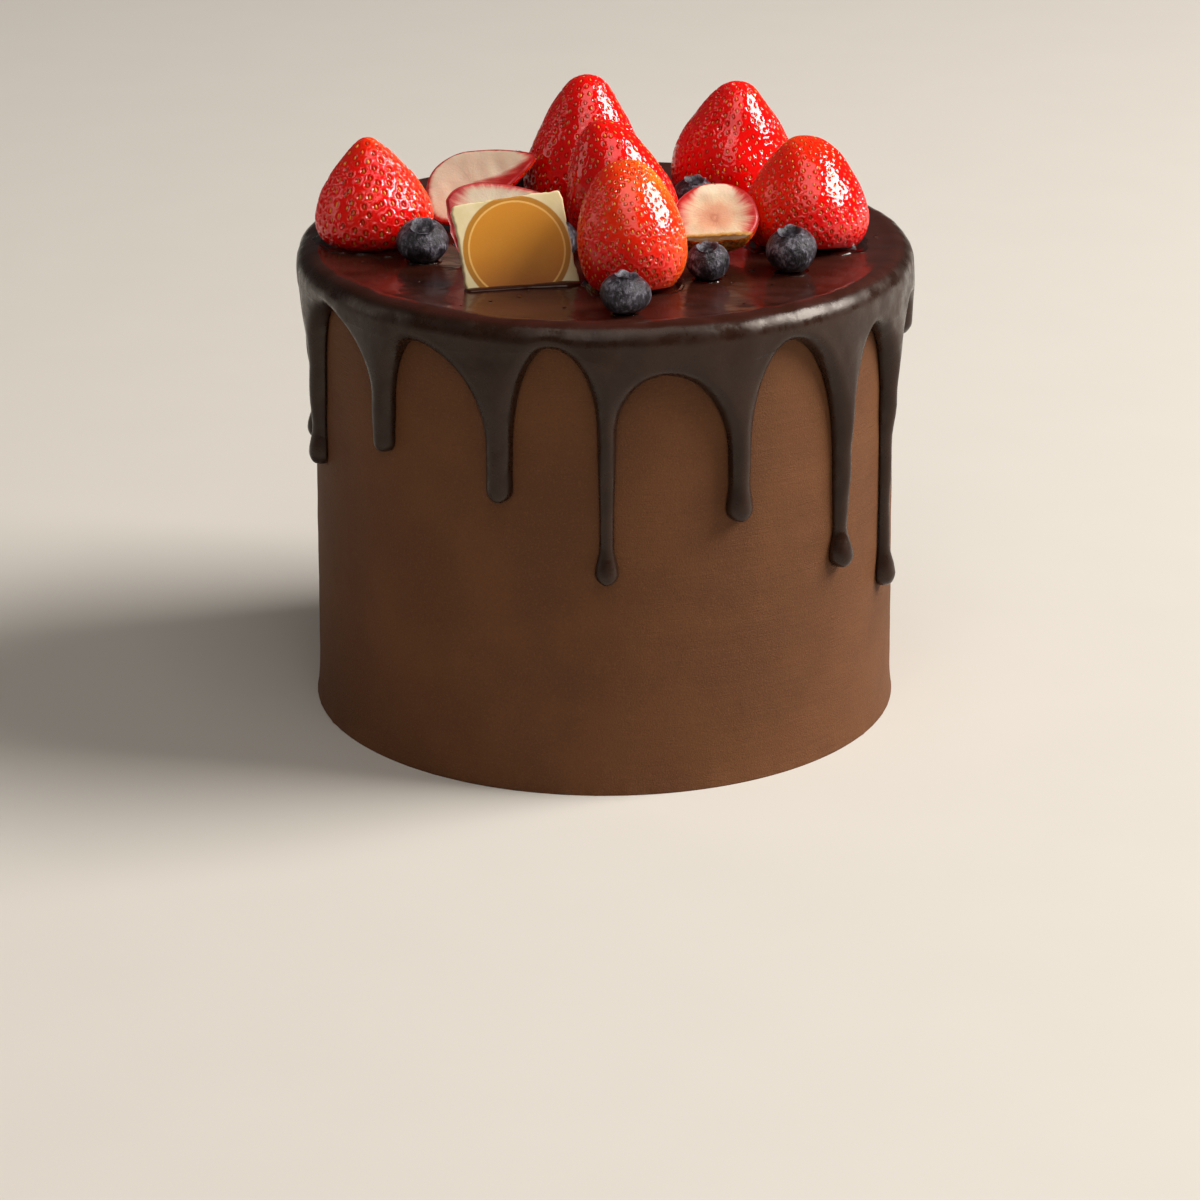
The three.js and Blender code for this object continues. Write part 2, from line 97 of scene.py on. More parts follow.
# Whole strawberries: the foot's x and y, radius, length, taper towards the tip, the tip's lean and
# the compass angle that it leans towards, the spacing of the seeds, how pale the skin gets on the
# side that faces a compass angle, partly its own colour and partly painted light where that side
# faces the key light, the share of it that syrup has smoothed, the middle of its smoothest patch as
# a compass angle and a share of the length, and the seeds' tint from 0, red-orange, to 1, straw.
STRAWBERRIES = table("x y radius length taper lean towards seeds pale side smooth patch straw", [
    (-61.5, -3, 15.9, 28, 0.54, 6, 150, 3.0, 0.75, 25, 0.05, (-120, 0.85), 0.35),
    (-5.6, 23, 17, 39, 0.42, 2, -15, 2.6, 0.2, 0, 0.55, (-75, 0.65), 0.25),
    (8, -10, 14.4, 36, 0.3, 16, 180, 2.5, 0.25, 0, 0.55, (-85, 0.7), 0.25),
    (7.6, -49, 14.3, 33.5, 0.22, 13, 105, 2.2, 1.1, 5, 0.35, (-50, 0.75), 0.5),
    (35.2, 38, 17.4, 33.5, 0.44, 3, 0, 2.5, 0.25, 0, 0.45, (-75, 0.6), 0.25),
    (54.6, -9, 16.4, 29.5, 0.34, 14, 100, 2.3, 0.8, 165, 0.4, (-62, 0.62), 0.35),
])

# Strawberries cut in half lengthwise: the centre of the hulled end on the cut face, radius,
# length, taper, the radians of the egg curve that the hulled end cuts off, the depth of the skin
# side per unit of radius, the compass angle of the tip, its rise, how far the cut face rolls to
# the right, the width of the face's red rim at its tip, its sides and its hulled end, what the
# front corner by the tip adds to it, and how much paler the core is than a peach-coloured one:
# partly a cream core and partly painted light that brightens faces lying in shade.
HALVES = table("x y z radius length taper hull deep along rise roll red corner paler", [
    (29.5, -25.8, 136.6, 11.4, 19.5, 0.12, 0.62, 0.74, 90, 34, -4, (0.5, 6.5, 1.0), 0, 0),
    (-48.2, 14, 136.9, 12.6, 32, 0.58, 0.3, 0.55, -7, 23, 31, (0.9, 0.9, 2.4), 26, 0.95),
    (-40.5, -21, 138.7, 10.2, 28, 0.55, 0.5, 0.5, 8, 12, 61, (1.8, 2.4, 9.0), 0, 0.7),
])
HALF_SEEDS = 2.6           # the spacing of the seeds on all the halves
SHOWN_HULL = 0.6           # a half whose hull is more than this shows the hull's scar
DOME_ROWS = 60             # rows of points on the domed scar
PIT_SHARE = 0.28           # a pit's radius over the spacing of the seeds, on all strawberries
WHOLE_SEED_GAP = 3.9       # the spacing of the seeds over their size, on whole ones
HALF_SEED_GAP = 3.3        # the same on halves

# Blueberries, a little flattened, whose star-shaped crown leans towards a compass angle. Their
# places and sizes are the solids', but the crowns are wider and some lean less.
BLUEBERRIES = table("x y radius height lean towards", [
    (-48.4, -23, 7, 10.8, 24, -85),
    (-23.4, 44.7, 6.8, 11.5, 20, 30),
    (5.2, -71, 6.6, 10.6, 5, 0),
    (27, -40.5, 5.7, 9.8, 18, -100),
    (49.2, -33, 6.8, 11.8, 14, -120),
    (24.6, 16, 6.1, 12.4, 10, -90),
    (-12.6, -23, 5.7, 11, 30, 120),
])
CROWN_SHARE = 0.48         # the crown's radius over the berry's

PLAQUE = dict(x=-23.1, y=-42.7, side=29.8, thickness=2.2, turn=13.2, lean=25.6, tilt=-5.5)
PLAQUE_MIDDLE = 7.6        # height of its middle above the glaze
PLAQUE_CORNERS = 26        # power of the superellipse that is its outline
PLAQUE_ROUNDING = 0.45     # of its edges
SEAL_RADIUS = 14.3         # the printed disc
SEAL_PLACE = (0.2, 0.85)   # its centre, from the middle of the plaque
RING_RADIUS = 12.8         # the thin ring inside it

HULL_ANGLE = 0.62          # radians of the egg curve that a whole one's hulled end cuts off
TIP_BLUNTNESS = 0.85       # below 1 the tip is blunter than the egg curve's


# ---- camera, lights and floor -----------------------------------------------------------------

CAMERA_PLACE = (0, -1.0482, 0.4303)     # in metres
CAMERA_TILT = 68.82                     # degrees up from straight down
CAMERA_TURN = 0.07                      # degrees to the left


def camera():
    """The photograph's view: from the front, a little above, with a long lens."""
    data = bpy.data.cameras.new("camera")
    data.lens = 120
    data.sensor_width = 36
    view = bpy.data.objects.new("camera", data)
    tilt, turn = math.radians(CAMERA_TILT), math.radians(CAMERA_TURN)
    turned = Matrix.Rotation(turn, 4, "Z") @ Matrix.Rotation(tilt, 4, "X")
    view.matrix_world = Matrix.Translation(CAMERA_PLACE) @ turned
    bpy.context.collection.objects.link(view)
    bpy.context.scene.camera = view


def softbox(name, azimuth, elevation, distance, size, radiance, colour):
    """A rectangular area light that faces the toppings, of an even radiance."""
    data = bpy.data.lights.new(name, "AREA")
    data.shape = "RECTANGLE"
    data.size, data.size_y = size
    data.energy = radiance * math.pi * size[0] * size[1]
    data.color = colour
    light = bpy.data.objects.new(name, data)
    a, e = math.radians(azimuth), math.radians(elevation)
    out = Matrix.Rotation(a, 4, "Z") @ Matrix.Rotation(math.pi / 2 - e, 4, "X")
    target = Matrix.Translation((0, 0, 0.11))
    light.matrix_world = target @ out @ Matrix.Translation((0, 0, distance))
    bpy.context.collection.objects.link(light)


def studio():
    """A pale floor to the edge of sight, dim surroundings, and soft lights."""
    softbox("key", 92, 38, 2.4, (1.3, 1.3), 18.5, (1, 0.965, 0.92))
    softbox("front", -4, 42, 2.4, (1.5, 1.1), 1.3, (1, 0.95, 0.9))
    softbox("overhead", 12, 68, 2.3, (1.5, 1.3), 1.9, (1, 0.95, 0.9))
    softbox("left", -95, 18, 2.3, (0.8, 1.45), 1.1, (1, 0.92, 0.83))
    world = bpy.data.worlds.new("room")
    world.use_nodes = True
    world.node_tree.nodes["Background"].inputs["Color"].default_value = (1, 0.95, 0.9, 1)
    world.node_tree.nodes["Background"].inputs["Strength"].default_value = 0.06
    bpy.context.scene.world = world
    bpy.context.scene.view_settings.view_transform = "Standard"
    half = 6.0
    corners = [(-half, -half, 0), (half, -half, 0), (half, half, 0), (-half, half, 0)]
    floor_mesh = bpy.data.meshes.new("floor")
    floor_mesh.from_pydata(corners, [], [(0, 1, 2, 3)])
    floor_mesh.materials.append(painted_floor())
    floor = bpy.data.objects.new("floor", floor_mesh)
    bpy.context.collection.objects.link(floor)


# ---- materials --------------------------------------------------------------------------------

def linear(code):
    """A linear RGBA colour from an sRGB hex code."""
    channels = np.array([int(code[i:i + 2], 16) for i in (1, 3, 5)]) / 255
    low, high = channels / 12.92, ((channels + 0.055) / 1.055) ** 2.4
    return (*np.where(channels <= 0.04045, low, high).tolist(), 1.0)


def add(tree, kind, inputs=None, **settings):
    """Adds a node with its settings. inputs gives each socket a value or another node's output."""
    node = tree.nodes.new(kind)
    for name, value in settings.items():
        setattr(node, name, value)
    for name, value in (inputs or {}).items():
        if isinstance(value, bpy.types.NodeSocket):
            tree.links.new(value, node.inputs[name])
        else:
            node.inputs[name].default_value = value
    return node


def material(name, **sockets):
    """A new material with constant values for its shader's sockets. Gives it, its node tree, and
    its Object coordinates in mm."""
    made = bpy.data.materials.new(name)
    made.use_nodes = True
    tree = made.node_tree
    for socket, value in sockets.items():
        shader_socket(made, socket).default_value = value
    place = add(tree, "ShaderNodeTexCoord").outputs["Object"]
    mm = add(tree, "ShaderNodeVectorMath", {0: place, 1: (1000, 1000, 1000)}, operation="MULTIPLY")
    return made, tree, mm.outputs[0]


def shader_socket(made, name):
    """A material's shader socket. An underscore in its name stands for a space."""
    return made.node_tree.nodes["Principled BSDF"].inputs[name.replace("_", " ")]


def plugged(made, **outputs):
    """The material, with nodes' outputs linked to its shader's sockets."""
    for name, output in outputs.items():
        made.node_tree.links.new(output, shader_socket(made, name))
    return made


# The functions from here to bump add their nodes to the tree that their first socket belongs to.

def calculate(operation, *values):
    """The result of a Math node."""
    node = add(values[0].id_data, "ShaderNodeMath", dict(enumerate(values)), operation=operation)
    return node.outputs[0]


def noise(place, size, detail=2.0, rough=0.5, stretch=(1, 1, 1)):
    """Noise from 0 to 1 whose grains are about size mm across, stretched along the axes."""
    tree = place.id_data
    scale = tuple(1 / (size * s) for s in stretch)
    scaled = add(tree, "ShaderNodeVectorMath", {0: place, 1: scale}, operation="MULTIPLY")
    made = add(tree, "ShaderNodeTexNoise",
               {"Vector": scaled.outputs[0], "Scale": 1.0, "Detail": detail, "Roughness": rough})
    return made.outputs["Fac"]


def sum_of(first, second, share):
    """first plus a share of second."""
    return calculate("MULTIPLY_ADD", second, share, first)


def ramp(value, stops):
    """A colour ramp through (position, hex colour) stops."""
    node = add(value.id_data, "ShaderNodeValToRGB", {"Fac": value})
    elements = node.color_ramp.elements
    while len(elements) < len(stops):
        elements.new(0.5)
    for element, (position, code) in zip(elements, stops):
        element.position = position
        element.color = linear(code)
    return node.outputs["Color"]


def remap(value, low, high, to_low=0, to_high=1):
    """The value's range low to high mapped smoothly to a new range."""
    ranges = {"From Min": low, "From Max": high, "To Min": to_low, "To Max": to_high}
    node = add(value.id_data, "ShaderNodeMapRange", {"Value": value, **ranges},
               interpolation_type="SMOOTHSTEP")
    return node.outputs["Result"]


def blend(amount, first, second):
    """Mixes two colours, each a hex code or a node's output, by an amount."""
    colours = [linear(value) if isinstance(value, str) else value for value in (first, second)]
    node = add(amount.id_data, "ShaderNodeMix", {"Factor": amount, 6: colours[0], 7: colours[1]},
               data_type="RGBA")
    return node.outputs[2]


def bump(height, depth, below=None):
    """A bump of a depth in mm, over another bump."""
    inputs = {"Height": height, "Strength": 1.0, "Distance": depth * MM}
    if below is not None:
        inputs["Normal"] = below
    return add(height.id_data, "ShaderNodeBump", inputs).outputs["Normal"]


def attribute(tree, name):
    """A number that the mesh carries at each point."""
    return add(tree, "ShaderNodeAttribute", attribute_name=name).outputs["Fac"]


def painted_floor():
    """Matt studio floor: an even pale tone, faintly mottled, that takes a soft shadow."""
    made, _, place = material("matt_pale_floor", Roughness=0.9, Specular_IOR_Level=0.2)
    return plugged(made, Base_Color=blend(noise(place, 40, 2), "#cdc8c0", "#d0cbc3"))


def chocolate_buttercream():
    """Chocolate buttercream smoothed with a steel scraper: matt milk-brown, with the fine open
    grain of whipped butter and thin, nearly level scratches in patches. A highlight is painted on the
    grain's raised points and shade in its low ones."""
    made, _, place = material("chocolate_buttercream", Roughness=0.68, IOR=1.45,
                              Specular_IOR_Level=0.28)
    mottle = noise(place, 26, 3)
    grain = noise(place, 0.45, 3, 0.62)
    scratches = noise(place, 0.34, 1.5, 0.5, (16, 16, 1))
    patches = remap(noise(place, 9, 2), 0.42, 0.62)
    colour = blend(remap(mottle, 0.35, 0.65), "#603a20", "#694124")
    # Painted highlight on the grain's raised points and painted shade in its low points, which the bump
    # below lifts and sinks.
    colour = blend(remap(grain, 0.5, 0.8, 0, 0.6), colour, "#80542f")
    colour = blend(remap(grain, 0.44, 0.24, 0, 0.5), colour, "#482a15")
    normal = bump(grain, 0.17)
    normal = bump(calculate("MULTIPLY", scratches, patches), 0.12, normal)
    normal = bump(noise(place, 1.4, 2, 0.5, (14, 14, 1)), 0.13, normal)
    return plugged(made, Base_Color=colour, Normal=normal)


def dark_glaze():
    """Dark chocolate ganache, poured and set: satin with a faint bloom where it runs down the
    side, and redder and glossy on the top, where syrup has been brushed over it in streaks."""
    made, tree, place = material("dark_chocolate_ganache", IOR=1.4, Specular_IOR_Level=0.5,
                                 Specular_Tint=(1.0, 0.9, 0.82, 1.0))
    height = add(tree, "ShaderNodeSeparateXYZ", {"Vector": place}).outputs["Z"]
    on_top = remap(height, GLAZE_TOP - 1.6, GLAZE_TOP - 0.2)
    mottle = remap(noise(place, 9, 3), 0.3, 0.7)
    side = blend(mottle, "#25140d", "#2c1910")
    streaks = noise(place, 7, 3, 0.55, (2.5, 1, 1))
    top = blend(remap(streaks, 0.3, 0.7), "#31160e", "#3e1d17")
    satin = remap(noise(place, 6.0, 4, 0.65), 0.35, 0.65, 0.2, 0.42)
    glossy = remap(streaks, 0.3, 0.7, 0.14, 0.27)
    rough = add(tree, "ShaderNodeMix", {"Factor": on_top, 2: satin, 3: glossy}, data_type="FLOAT")
    grain = calculate("MULTIPLY", noise(place, 0.7, 3, 0.65), remap(on_top, 0, 1, 1, 0.15))
    normal = bump(noise(place, 6, 2), 0.22, bump(grain, 0.04))
    return plugged(made, Base_Color=blend(on_top, side, top), Roughness=rough.outputs[0],
                   Normal=normal)


def strawberry_skin():
    """Ripe strawberry skin under a glaze of clear syrup: light sinks deep into the red flesh and
    comes back saturated, under a bright wet gloss. It is paler and more orange on one side and
    towards the tip, partly its own colour and partly painted light, and shade is painted into the
    pits. The scar of a cut hull is brown."""
    made, tree, place = material(
        "syruped_strawberry_skin", Roughness=0.5, Specular_IOR_Level=0.0, Subsurface_Weight=1.0,
        Subsurface_Radius=(1.0, 0.12, 0.06), Subsurface_Scale=4.5 * MM, Coat_Weight=1.0,
        Coat_Roughness=0.03, Coat_IOR=1.58)
    ripe = sum_of(attribute(tree, "ripe"), noise(place, 3, 3), 0.16)
    stops = [(0.06, "#f67c18"), (0.3, "#f25010"), (0.55, "#f22808"), (0.8, "#ee1008"), (1.0, "#dc0406")]
    colour = ramp(ripe, stops)
    # Painted shade: the skin is darkened towards deep red in the pits round the seeds.
    colour = blend(remap(attribute(tree, "pit_shade"), 0, 1, 0, 0.85), colour, "#8a0805")
    scar = ramp(noise(place, 1.1, 3, 0.6), [(0.3, "#5a3810"), (0.5, "#a06a1c"), (0.7, "#cc9434")])
    colour = blend(attribute(tree, "scar"), colour, scar)
    return plugged(made, Base_Color=colour, Coat_Normal=bump(noise(place, 1.6, 2), 0.05))


def strawberry_seed():
    """Strawberry achenes: hard teardrops from red-orange to straw, wet with syrup."""
    made, tree, place = material("strawberry_seed", Roughness=0.45, Specular_IOR_Level=0.3,
                                 Coat_Weight=0.25, Coat_Roughness=0.05)
    stops = [(0.0, "#d03c08"), (0.35, "#e8660e"), (0.65, "#f68c1c"), (1.0, "#fab040")]
    colour = ramp(attribute(tree, "tint"), stops)
    colour = blend(remap(noise(place, 0.4, 2), 0.4, 0.7, 0, 0.3), colour, "#b44808")
    return plugged(made, Base_Color=colour)


def strawberry_flesh():
    """A strawberry's cut face: moist cream flesh round a peach core, with a red rim whose edge is
    drawn out by streaks that run from the core to the skin. flush is the way in from the skin over
    the width of the rim, core the way out from the core, and spoke and way_in place the streaks.
    On some halves core is raised so that the face is paler: partly a cream core and partly painted
    light on a face in shade."""
    made, tree, place = material(
        "cut_strawberry_flesh", Roughness=0.42, Subsurface_Weight=0.5, Subsurface_Radius=(1.0, 0.6, 0.4),
        Subsurface_Scale=1.2 * MM, Coat_Weight=0.35, Coat_Roughness=0.2)
    spoke, way_in = attribute(tree, "spoke"), attribute(tree, "way_in")
    way = add(tree, "ShaderNodeCombineXYZ", {"X": spoke, "Y": way_in}).outputs[0]
    streaks = noise(way, 1.3, 3, 0.6, (1.0, 9.0, 1.0))
    core = sum_of(attribute(tree, "core"), noise(place, 2.5, 3), 0.3)
    stops = [(0.17, "#e2a684"), (0.24, "#cf8a68"), (0.31, "#dfa380"), (0.5, "#e4b18e"),
             (0.68, "#e8caa6"), (0.85, "#e6d2b0"), (1.1, "#f6e2c6")]
    colour = ramp(core, stops)
    flush = sum_of(attribute(tree, "flush"), streaks, 0.9)
    red = ramp(remap(flush, 0.3, 1.4),
               [(0.0, "#b40c10"), (0.3, "#cc2c28"), (0.65, "#dd7462"), (1.0, "#e8a88c")])
    colour = blend(remap(flush, 0.55, 1.45, 1, 0), colour, red)
    edge = sum_of(attribute(tree, "scar"), noise(place, 1.6, 3, 0.6), 0.5)
    scar = ramp(edge, [(0.5, "#dcb060"), (0.9, "#bc8230"), (1.25, "#6e4818")])
    colour = blend(remap(edge, 0.4, 0.8), colour, scar)
    normal = bump(noise(place, 0.6, 3), 0.08, bump(streaks, 0.09))
    return plugged(made, Base_Color=colour, Normal=normal)


def blueberry_skin():
    """Blueberry skin: violet-black, under a pale grey waxy bloom that handling has scuffed."""
    made, tree, place = material("blueberry_skin_with_bloom", Specular_IOR_Level=0.4)
    broad = noise(place, 3.4, 4, 0.62)
    scuffs = noise(place, 0.8, 4, 0.68, (1, 1, 2.0))
    bloom = remap(sum_of(broad, scuffs, 0.9), 0.72, 1.2)
    colour = ramp(bloom, [(0.0, "#130f15"), (0.35, "#242027"), (0.7, "#403c47"), (1.0, "#78757f")])
    colour = blend(attribute(tree, "lip"), colour, "#8e8d98")
    colour = blend(attribute(tree, "hollow"), colour, "#242028")
    return plugged(made, Base_Color=colour, Roughness=remap(bloom, 0, 1, 0.3, 0.58),
                   Normal=bump(broad, 0.7, bump(scuffs, 0.42)))


def white_chocolate():
    """Moulded white chocolate: ivory and waxy, with a disc of gold-brown cocoa butter printed on
    its face and a thin pale ring left open in the print."""
    made, tree, place = material(
        "printed_white_chocolate", Roughness=0.42, Subsurface_Weight=0.2,
        Subsurface_Radius=(1.0, 0.7, 0.4), Subsurface_Scale=1.0 * MM)
    on_face = add(tree, "ShaderNodeUVMap", uv_map="face").outputs["UV"]
    out = add(tree, "ShaderNodeVectorMath", {0: on_face, 1: (*SEAL_PLACE, 0)}, operation="DISTANCE")
    out = sum_of(out.outputs["Value"], noise(on_face, 0.9, 2), 0.14)
    height = add(tree, "ShaderNodeSeparateXYZ", {"Vector": on_face}).outputs["Y"]
    inside = remap(out, SEAL_RADIUS - 0.1, SEAL_RADIUS + 0.25, 1, 0)
    off_ring = calculate("ABSOLUTE", calculate("SUBTRACT", out, RING_RADIUS))
    ring = remap(off_ring, 0.12, 0.36, 1, 0)
    # The print is darker towards the bottom of the face.
    print_colour = blend(remap(height, -14, 4), "#a45800", "#cc8408")
    film = noise(on_face, 5, 3)
    print_colour = blend(remap(film, 0.4, 0.7, 0, 0.15), print_colour, "#d0902c")
    band = remap(out, RING_RADIUS - 0.1, RING_RADIUS + 0.3, 0, 0.5)
    print_colour = blend(band, print_colour, "#9a6a10")
    print_colour = blend(ring, print_colour, "#e6b25c")
    mottle = remap(noise(place, 6, 3), 0.3, 0.7)
    ivory = blend(mottle, "#d8c695", "#e3d2a8")
    return plugged(made, Base_Color=blend(inside, ivory, print_colour),
                   Normal=bump(noise(place, 0.7, 3), 0.03))


def sugar_syrup():
    """Clear glazing syrup that has run off the berries: pale amber and as clear as glass."""
    made, _, place = material("clear_amber_syrup", Transmission_Weight=1.0, Roughness=0.03,
                              IOR=1.45)
    colour = blend(noise(place, 6, 2), "#fff3e0", "#ffe2bd")
    return plugged(made, Base_Color=colour)


# ---- meshes -----------------------------------------------------------------------------------

def grid_faces(rows, columns, around):
    """The quads of a grid of points numbered row by row; around joins the last column to the first."""
    row, column = np.meshgrid(np.arange(rows - 1), np.arange(columns - (not around)), indexing="ij")
    right = (column + 1) % columns
    corners = [row * columns + column, row * columns + right,
               (row + 1) * columns + right, (row + 1) * columns + column]
    return np.stack(corners, -1).reshape(-1, 4)


def piece(name, grids, finish, node=None, attributes=None, uv=None):
    """One object from grids of points, each (points, around). Points of a pole or a seam that lie
    on each other are merged, and faces are turned outwards. attributes are one number a point."""
    vertices, faces, count = [], [], 0
    for points, around in grids:
        vertices.append(points.reshape(-1, 3))
        faces.append(grid_faces(*points.shape[:2], around) + count)
        count += len(vertices[-1])
    mesh = bpy.data.meshes.new(name)
    mesh.from_pydata(np.concatenate(vertices) * MM, [], np.concatenate(faces))
    for key, values in (attributes or {}).items():
        mesh.attributes.new(key, "FLOAT", "POINT").data.foreach_set("value", values.ravel())
    if uv is not None:
        loops = np.empty(len(mesh.loops), int)
        mesh.loops.foreach_get("vertex_index", loops)
        mesh.uv_layers.new(name="face").uv.foreach_set("vector", uv.reshape(-1, 2)[loops].ravel())
    work = bmesh.new()
    work.from_mesh(mesh)
    bmesh.ops.remove_doubles(work, verts=work.verts, dist=2e-4 * MM)
    if work.calc_volume(signed=True) < 0:
        bmesh.ops.reverse_faces(work, faces=work.faces)
    work.to_mesh(mesh)
    work.free()
    mesh.shade_smooth()
    mesh.materials.append(finish)
    made = bpy.data.objects.new(name, mesh)
    bpy.context.collection.objects.link(made)
    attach(made, "root")
    if node:
        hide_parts(node)
    return made


def smoothstep(value, low, high):
    """0 below low, 1 above high, and an even S between them."""
    t = np.clip((value - low) / (high - low), 0, 1)
    return t * t * (3 - 2 * t)


def full_turn(count):
    """Evenly spaced angles all the way round."""
    return np.linspace(0, 2 * np.pi, count, endpoint=False)


def press_flat(points):
    """Moves the points that reach into the glaze up to just below its top."""
    points[..., 2] = np.maximum(points[..., 2], GLAZE_TOP - 0.2)


def waves(points, length, seed, count=20):
    """Smooth random heights of about -1 to 1: the sum of cosine waves of about one length, whose
    directions and phases are drawn at random."""
    draw = np.random.default_rng(seed)
    direction = draw.normal(size=(count, 3))
    direction /= np.linalg.norm(direction, axis=1, keepdims=True)
    number = 2 * np.pi / (length * draw.uniform(0.7, 1.5, count))
    phase = draw.uniform(0, 2 * np.pi, count)
    turns = points @ (direction * number[:, None]).T + phase
    return np.cos(turns).sum(-1) / math.sqrt(2 * count)


def leaning(lean, towards):
    """The turn that leans an upright axis by lean degrees towards a compass angle."""
    a, b = math.radians(lean), math.radians(towards)
    axis = (-math.sin(b), math.cos(b), 0)
    return np.array(Matrix.Rotation(a, 3, axis))


def turned_profile(out, up, angle):
    """A profile of radii and heights turned round the upright axis, or through a part of a turn."""
    out, up = out[:, None], up[:, None]
    return np.stack(np.broadcast_arrays(out * np.cos(angle), out * np.sin(angle), up), -1)


# ---- the coated cake --------------------------------------------------------------------------

SIDE_TOP = CAKE_HEIGHT - CAKE_EDGE_RADIUS


def cake_radius(z):
    """The side's radius at a height: it tapers evenly upwards."""
    return CAKE_BASE_RADIUS + (CAKE_TOP_RADIUS - CAKE_BASE_RADIUS) * z / SIDE_TOP


def coated_cake():
    """A profile turned round the upright axis: the flat base, the foot that spreads a little, the
    slightly tapered side, the rounded top edge and the top. The scraper has left the side with
    shallow level waves, and the foot with an uneven lip and small flecks."""
    side = np.concatenate([np.linspace(0, 12, 40)[:-1], np.linspace(12, SIDE_TOP, 150)])
    spread = (FOOT_RADIUS - CAKE_BASE_RADIUS) * np.clip(1 - side / FOOT_HEIGHT, 0, 1) ** 1.5
    turn = np.linspace(0, np.pi / 2, 6)[1:]
    edge_out = CAKE_TOP_RADIUS - CAKE_EDGE_RADIUS * (1 - np.cos(turn))
    edge_up = SIDE_TOP + CAKE_EDGE_RADIUS * np.sin(turn)
    radius = np.concatenate([[0, 60], cake_radius(side) + spread, edge_out, [40, 0]])
    height = np.concatenate([[0, 0], side, edge_up, [CAKE_HEIGHT] * 2])
    points = turned_profile(radius, height, full_turn(480))
    on_side = ((height > 0) & (height < SIDE_TOP) & (radius > 70))[:, None]
    near_foot = np.exp(-height / 2.2)[:, None]
    relief = 0.06 * waves(points * (0.12, 0.12, 1), 7, 1) + 0.16 * waves(points, 60, 2)
    relief = relief + near_foot * (0.2 * waves(points * (1, 1, 0.4), 5, 3) + 0.1 * waves(points, 1.8, 8))
    out = 1 + on_side * relief / np.maximum(radius[:, None], 1)
    points = points * np.stack([out, out, np.ones_like(out)], -1)
    piece("coated_cake", [(points, True)], FINISH["buttercream"], "cake_body")


# ---- the glaze --------------------------------------------------------------------------------
# The glaze is worked out on the cake's surface, unrolled: an angle round the cake, and a climb
# that is the height on the side and goes on round the top edge. Each drip has an apron that
# reaches from the crown of the arch on its left to the crown of the arch on its right.

EDGE_RADIUS = CAKE_EDGE_RADIUS + GAP
EDGE_TURN = math.pi / 2 * EDGE_RADIUS
TOP_THICKNESS = GLAZE_TOP - CAKE_HEIGHT - GAP
ARC = math.radians(CAKE_TOP_RADIUS + GAP)     # mm along the side for each degree
ARCH_ROWS = 26
NECK_ROWS = 18
BULB_ROWS = 16


def glaze_point(angle, climb, thickness):
    """The point over an angle and a climb: out from the side, or round the top edge and up."""
    turn = np.clip((climb - SIDE_TOP) / EDGE_RADIUS, 0, np.pi / 2)
    height = np.minimum(climb, SIDE_TOP)
    radius = cake_radius(height) + GAP - EDGE_RADIUS * (1 - np.cos(turn)) + thickness * np.cos(turn)
    z = height + (EDGE_RADIUS + thickness) * np.sin(turn)
    a = np.radians(angle)
    return np.stack([radius * np.sin(a), -radius * np.cos(a), z], -1)


def drip_place(drip, left, column):
    """Angle, climb, half width and full thickness of one drip and its apron, on rows from the
    crown line to the tip. The sides of the arches are quarter ellipses that end at the shoulder,
    the neck thins smoothly, and the bulb swells smoothly and ends in a half circle."""
    angle, tip, shoulder, neck, bulb, arch_angle, arch_top = drip
    left_angle, left_top = left
    span = np.where(column < 0, angle - left_angle, arch_angle - angle) * ARC
    turn = np.linspace(0, np.pi / 2, ARCH_ROWS)[:, None]
    line = left_top + (arch_top - left_top) * smoothstep(column, -1, 1)
    half = span - (span - neck * SHOULDER_FLARE) * np.sin(turn)
    climb = line - (line - shoulder) * (1 - np.cos(turn))
    at_shoulder = max(SHOULDER_THICKNESS, DRIP_PROUDNESS * neck * SHOULDER_FLARE)
    apron = RIM_THICKNESS + (at_shoulder - RIM_THICKNESS) * (1 - np.cos(turn))
    bulb_middle = tip + bulb
    down = np.linspace(0, 1, NECK_ROWS + 1)[1:, None]
    end_turn = np.linspace(0, np.pi / 2, BULB_ROWS)[1:, None]
    z = np.concatenate([shoulder + (bulb_middle - shoulder) * down, tip + bulb * (1 - np.sin(end_turn))])
    bulge = smoothstep(z, tip + BULB_LENGTH * bulb, bulb_middle)
    flare = (SHOULDER_FLARE - 1) * smoothstep(z, shoulder - 2 * THINNING_LENGTH, shoulder)
    thinned = neck * (1 + flare)
    below = thinned + (bulb - thinned) * bulge
    circle = bulb * np.sqrt(np.clip(1 - ((bulb_middle - z) / bulb) ** 2, 0, 1))
    below = np.where(z < bulb_middle, circle, below)
    slim = DRIP_PROUDNESS * np.where(z < bulb_middle, bulb, np.maximum(below, neck))
    thin = slim + (at_shoulder - slim) * smoothstep(z, shoulder - THINNING_LENGTH, shoulder)
    climb = np.concatenate([climb, z + 0 * column])
    half = np.concatenate([half, below + 0 * column])
    full = np.concatenate([apron, thin]) + 0 * column
    return angle + column * half / ARC, climb, half, full


def distance_to(line, x, y):
    """The least distance from points to a line of unrolled points, over all of its segments."""
    start, step = line[:-1], np.diff(line, axis=0)
    dx = x[..., None] - start[:, 0]
    dy = y[..., None] - start[:, 1]
    length = np.maximum((step ** 2).sum(1), 1e-9)
    t = np.clip((dx * step[:, 0] + dy * step[:, 1]) / length, 0, 1)
    return np.sqrt((dx - t * step[:, 0]) ** 2 + (dy - t * step[:, 1]) ** 2).min(-1)


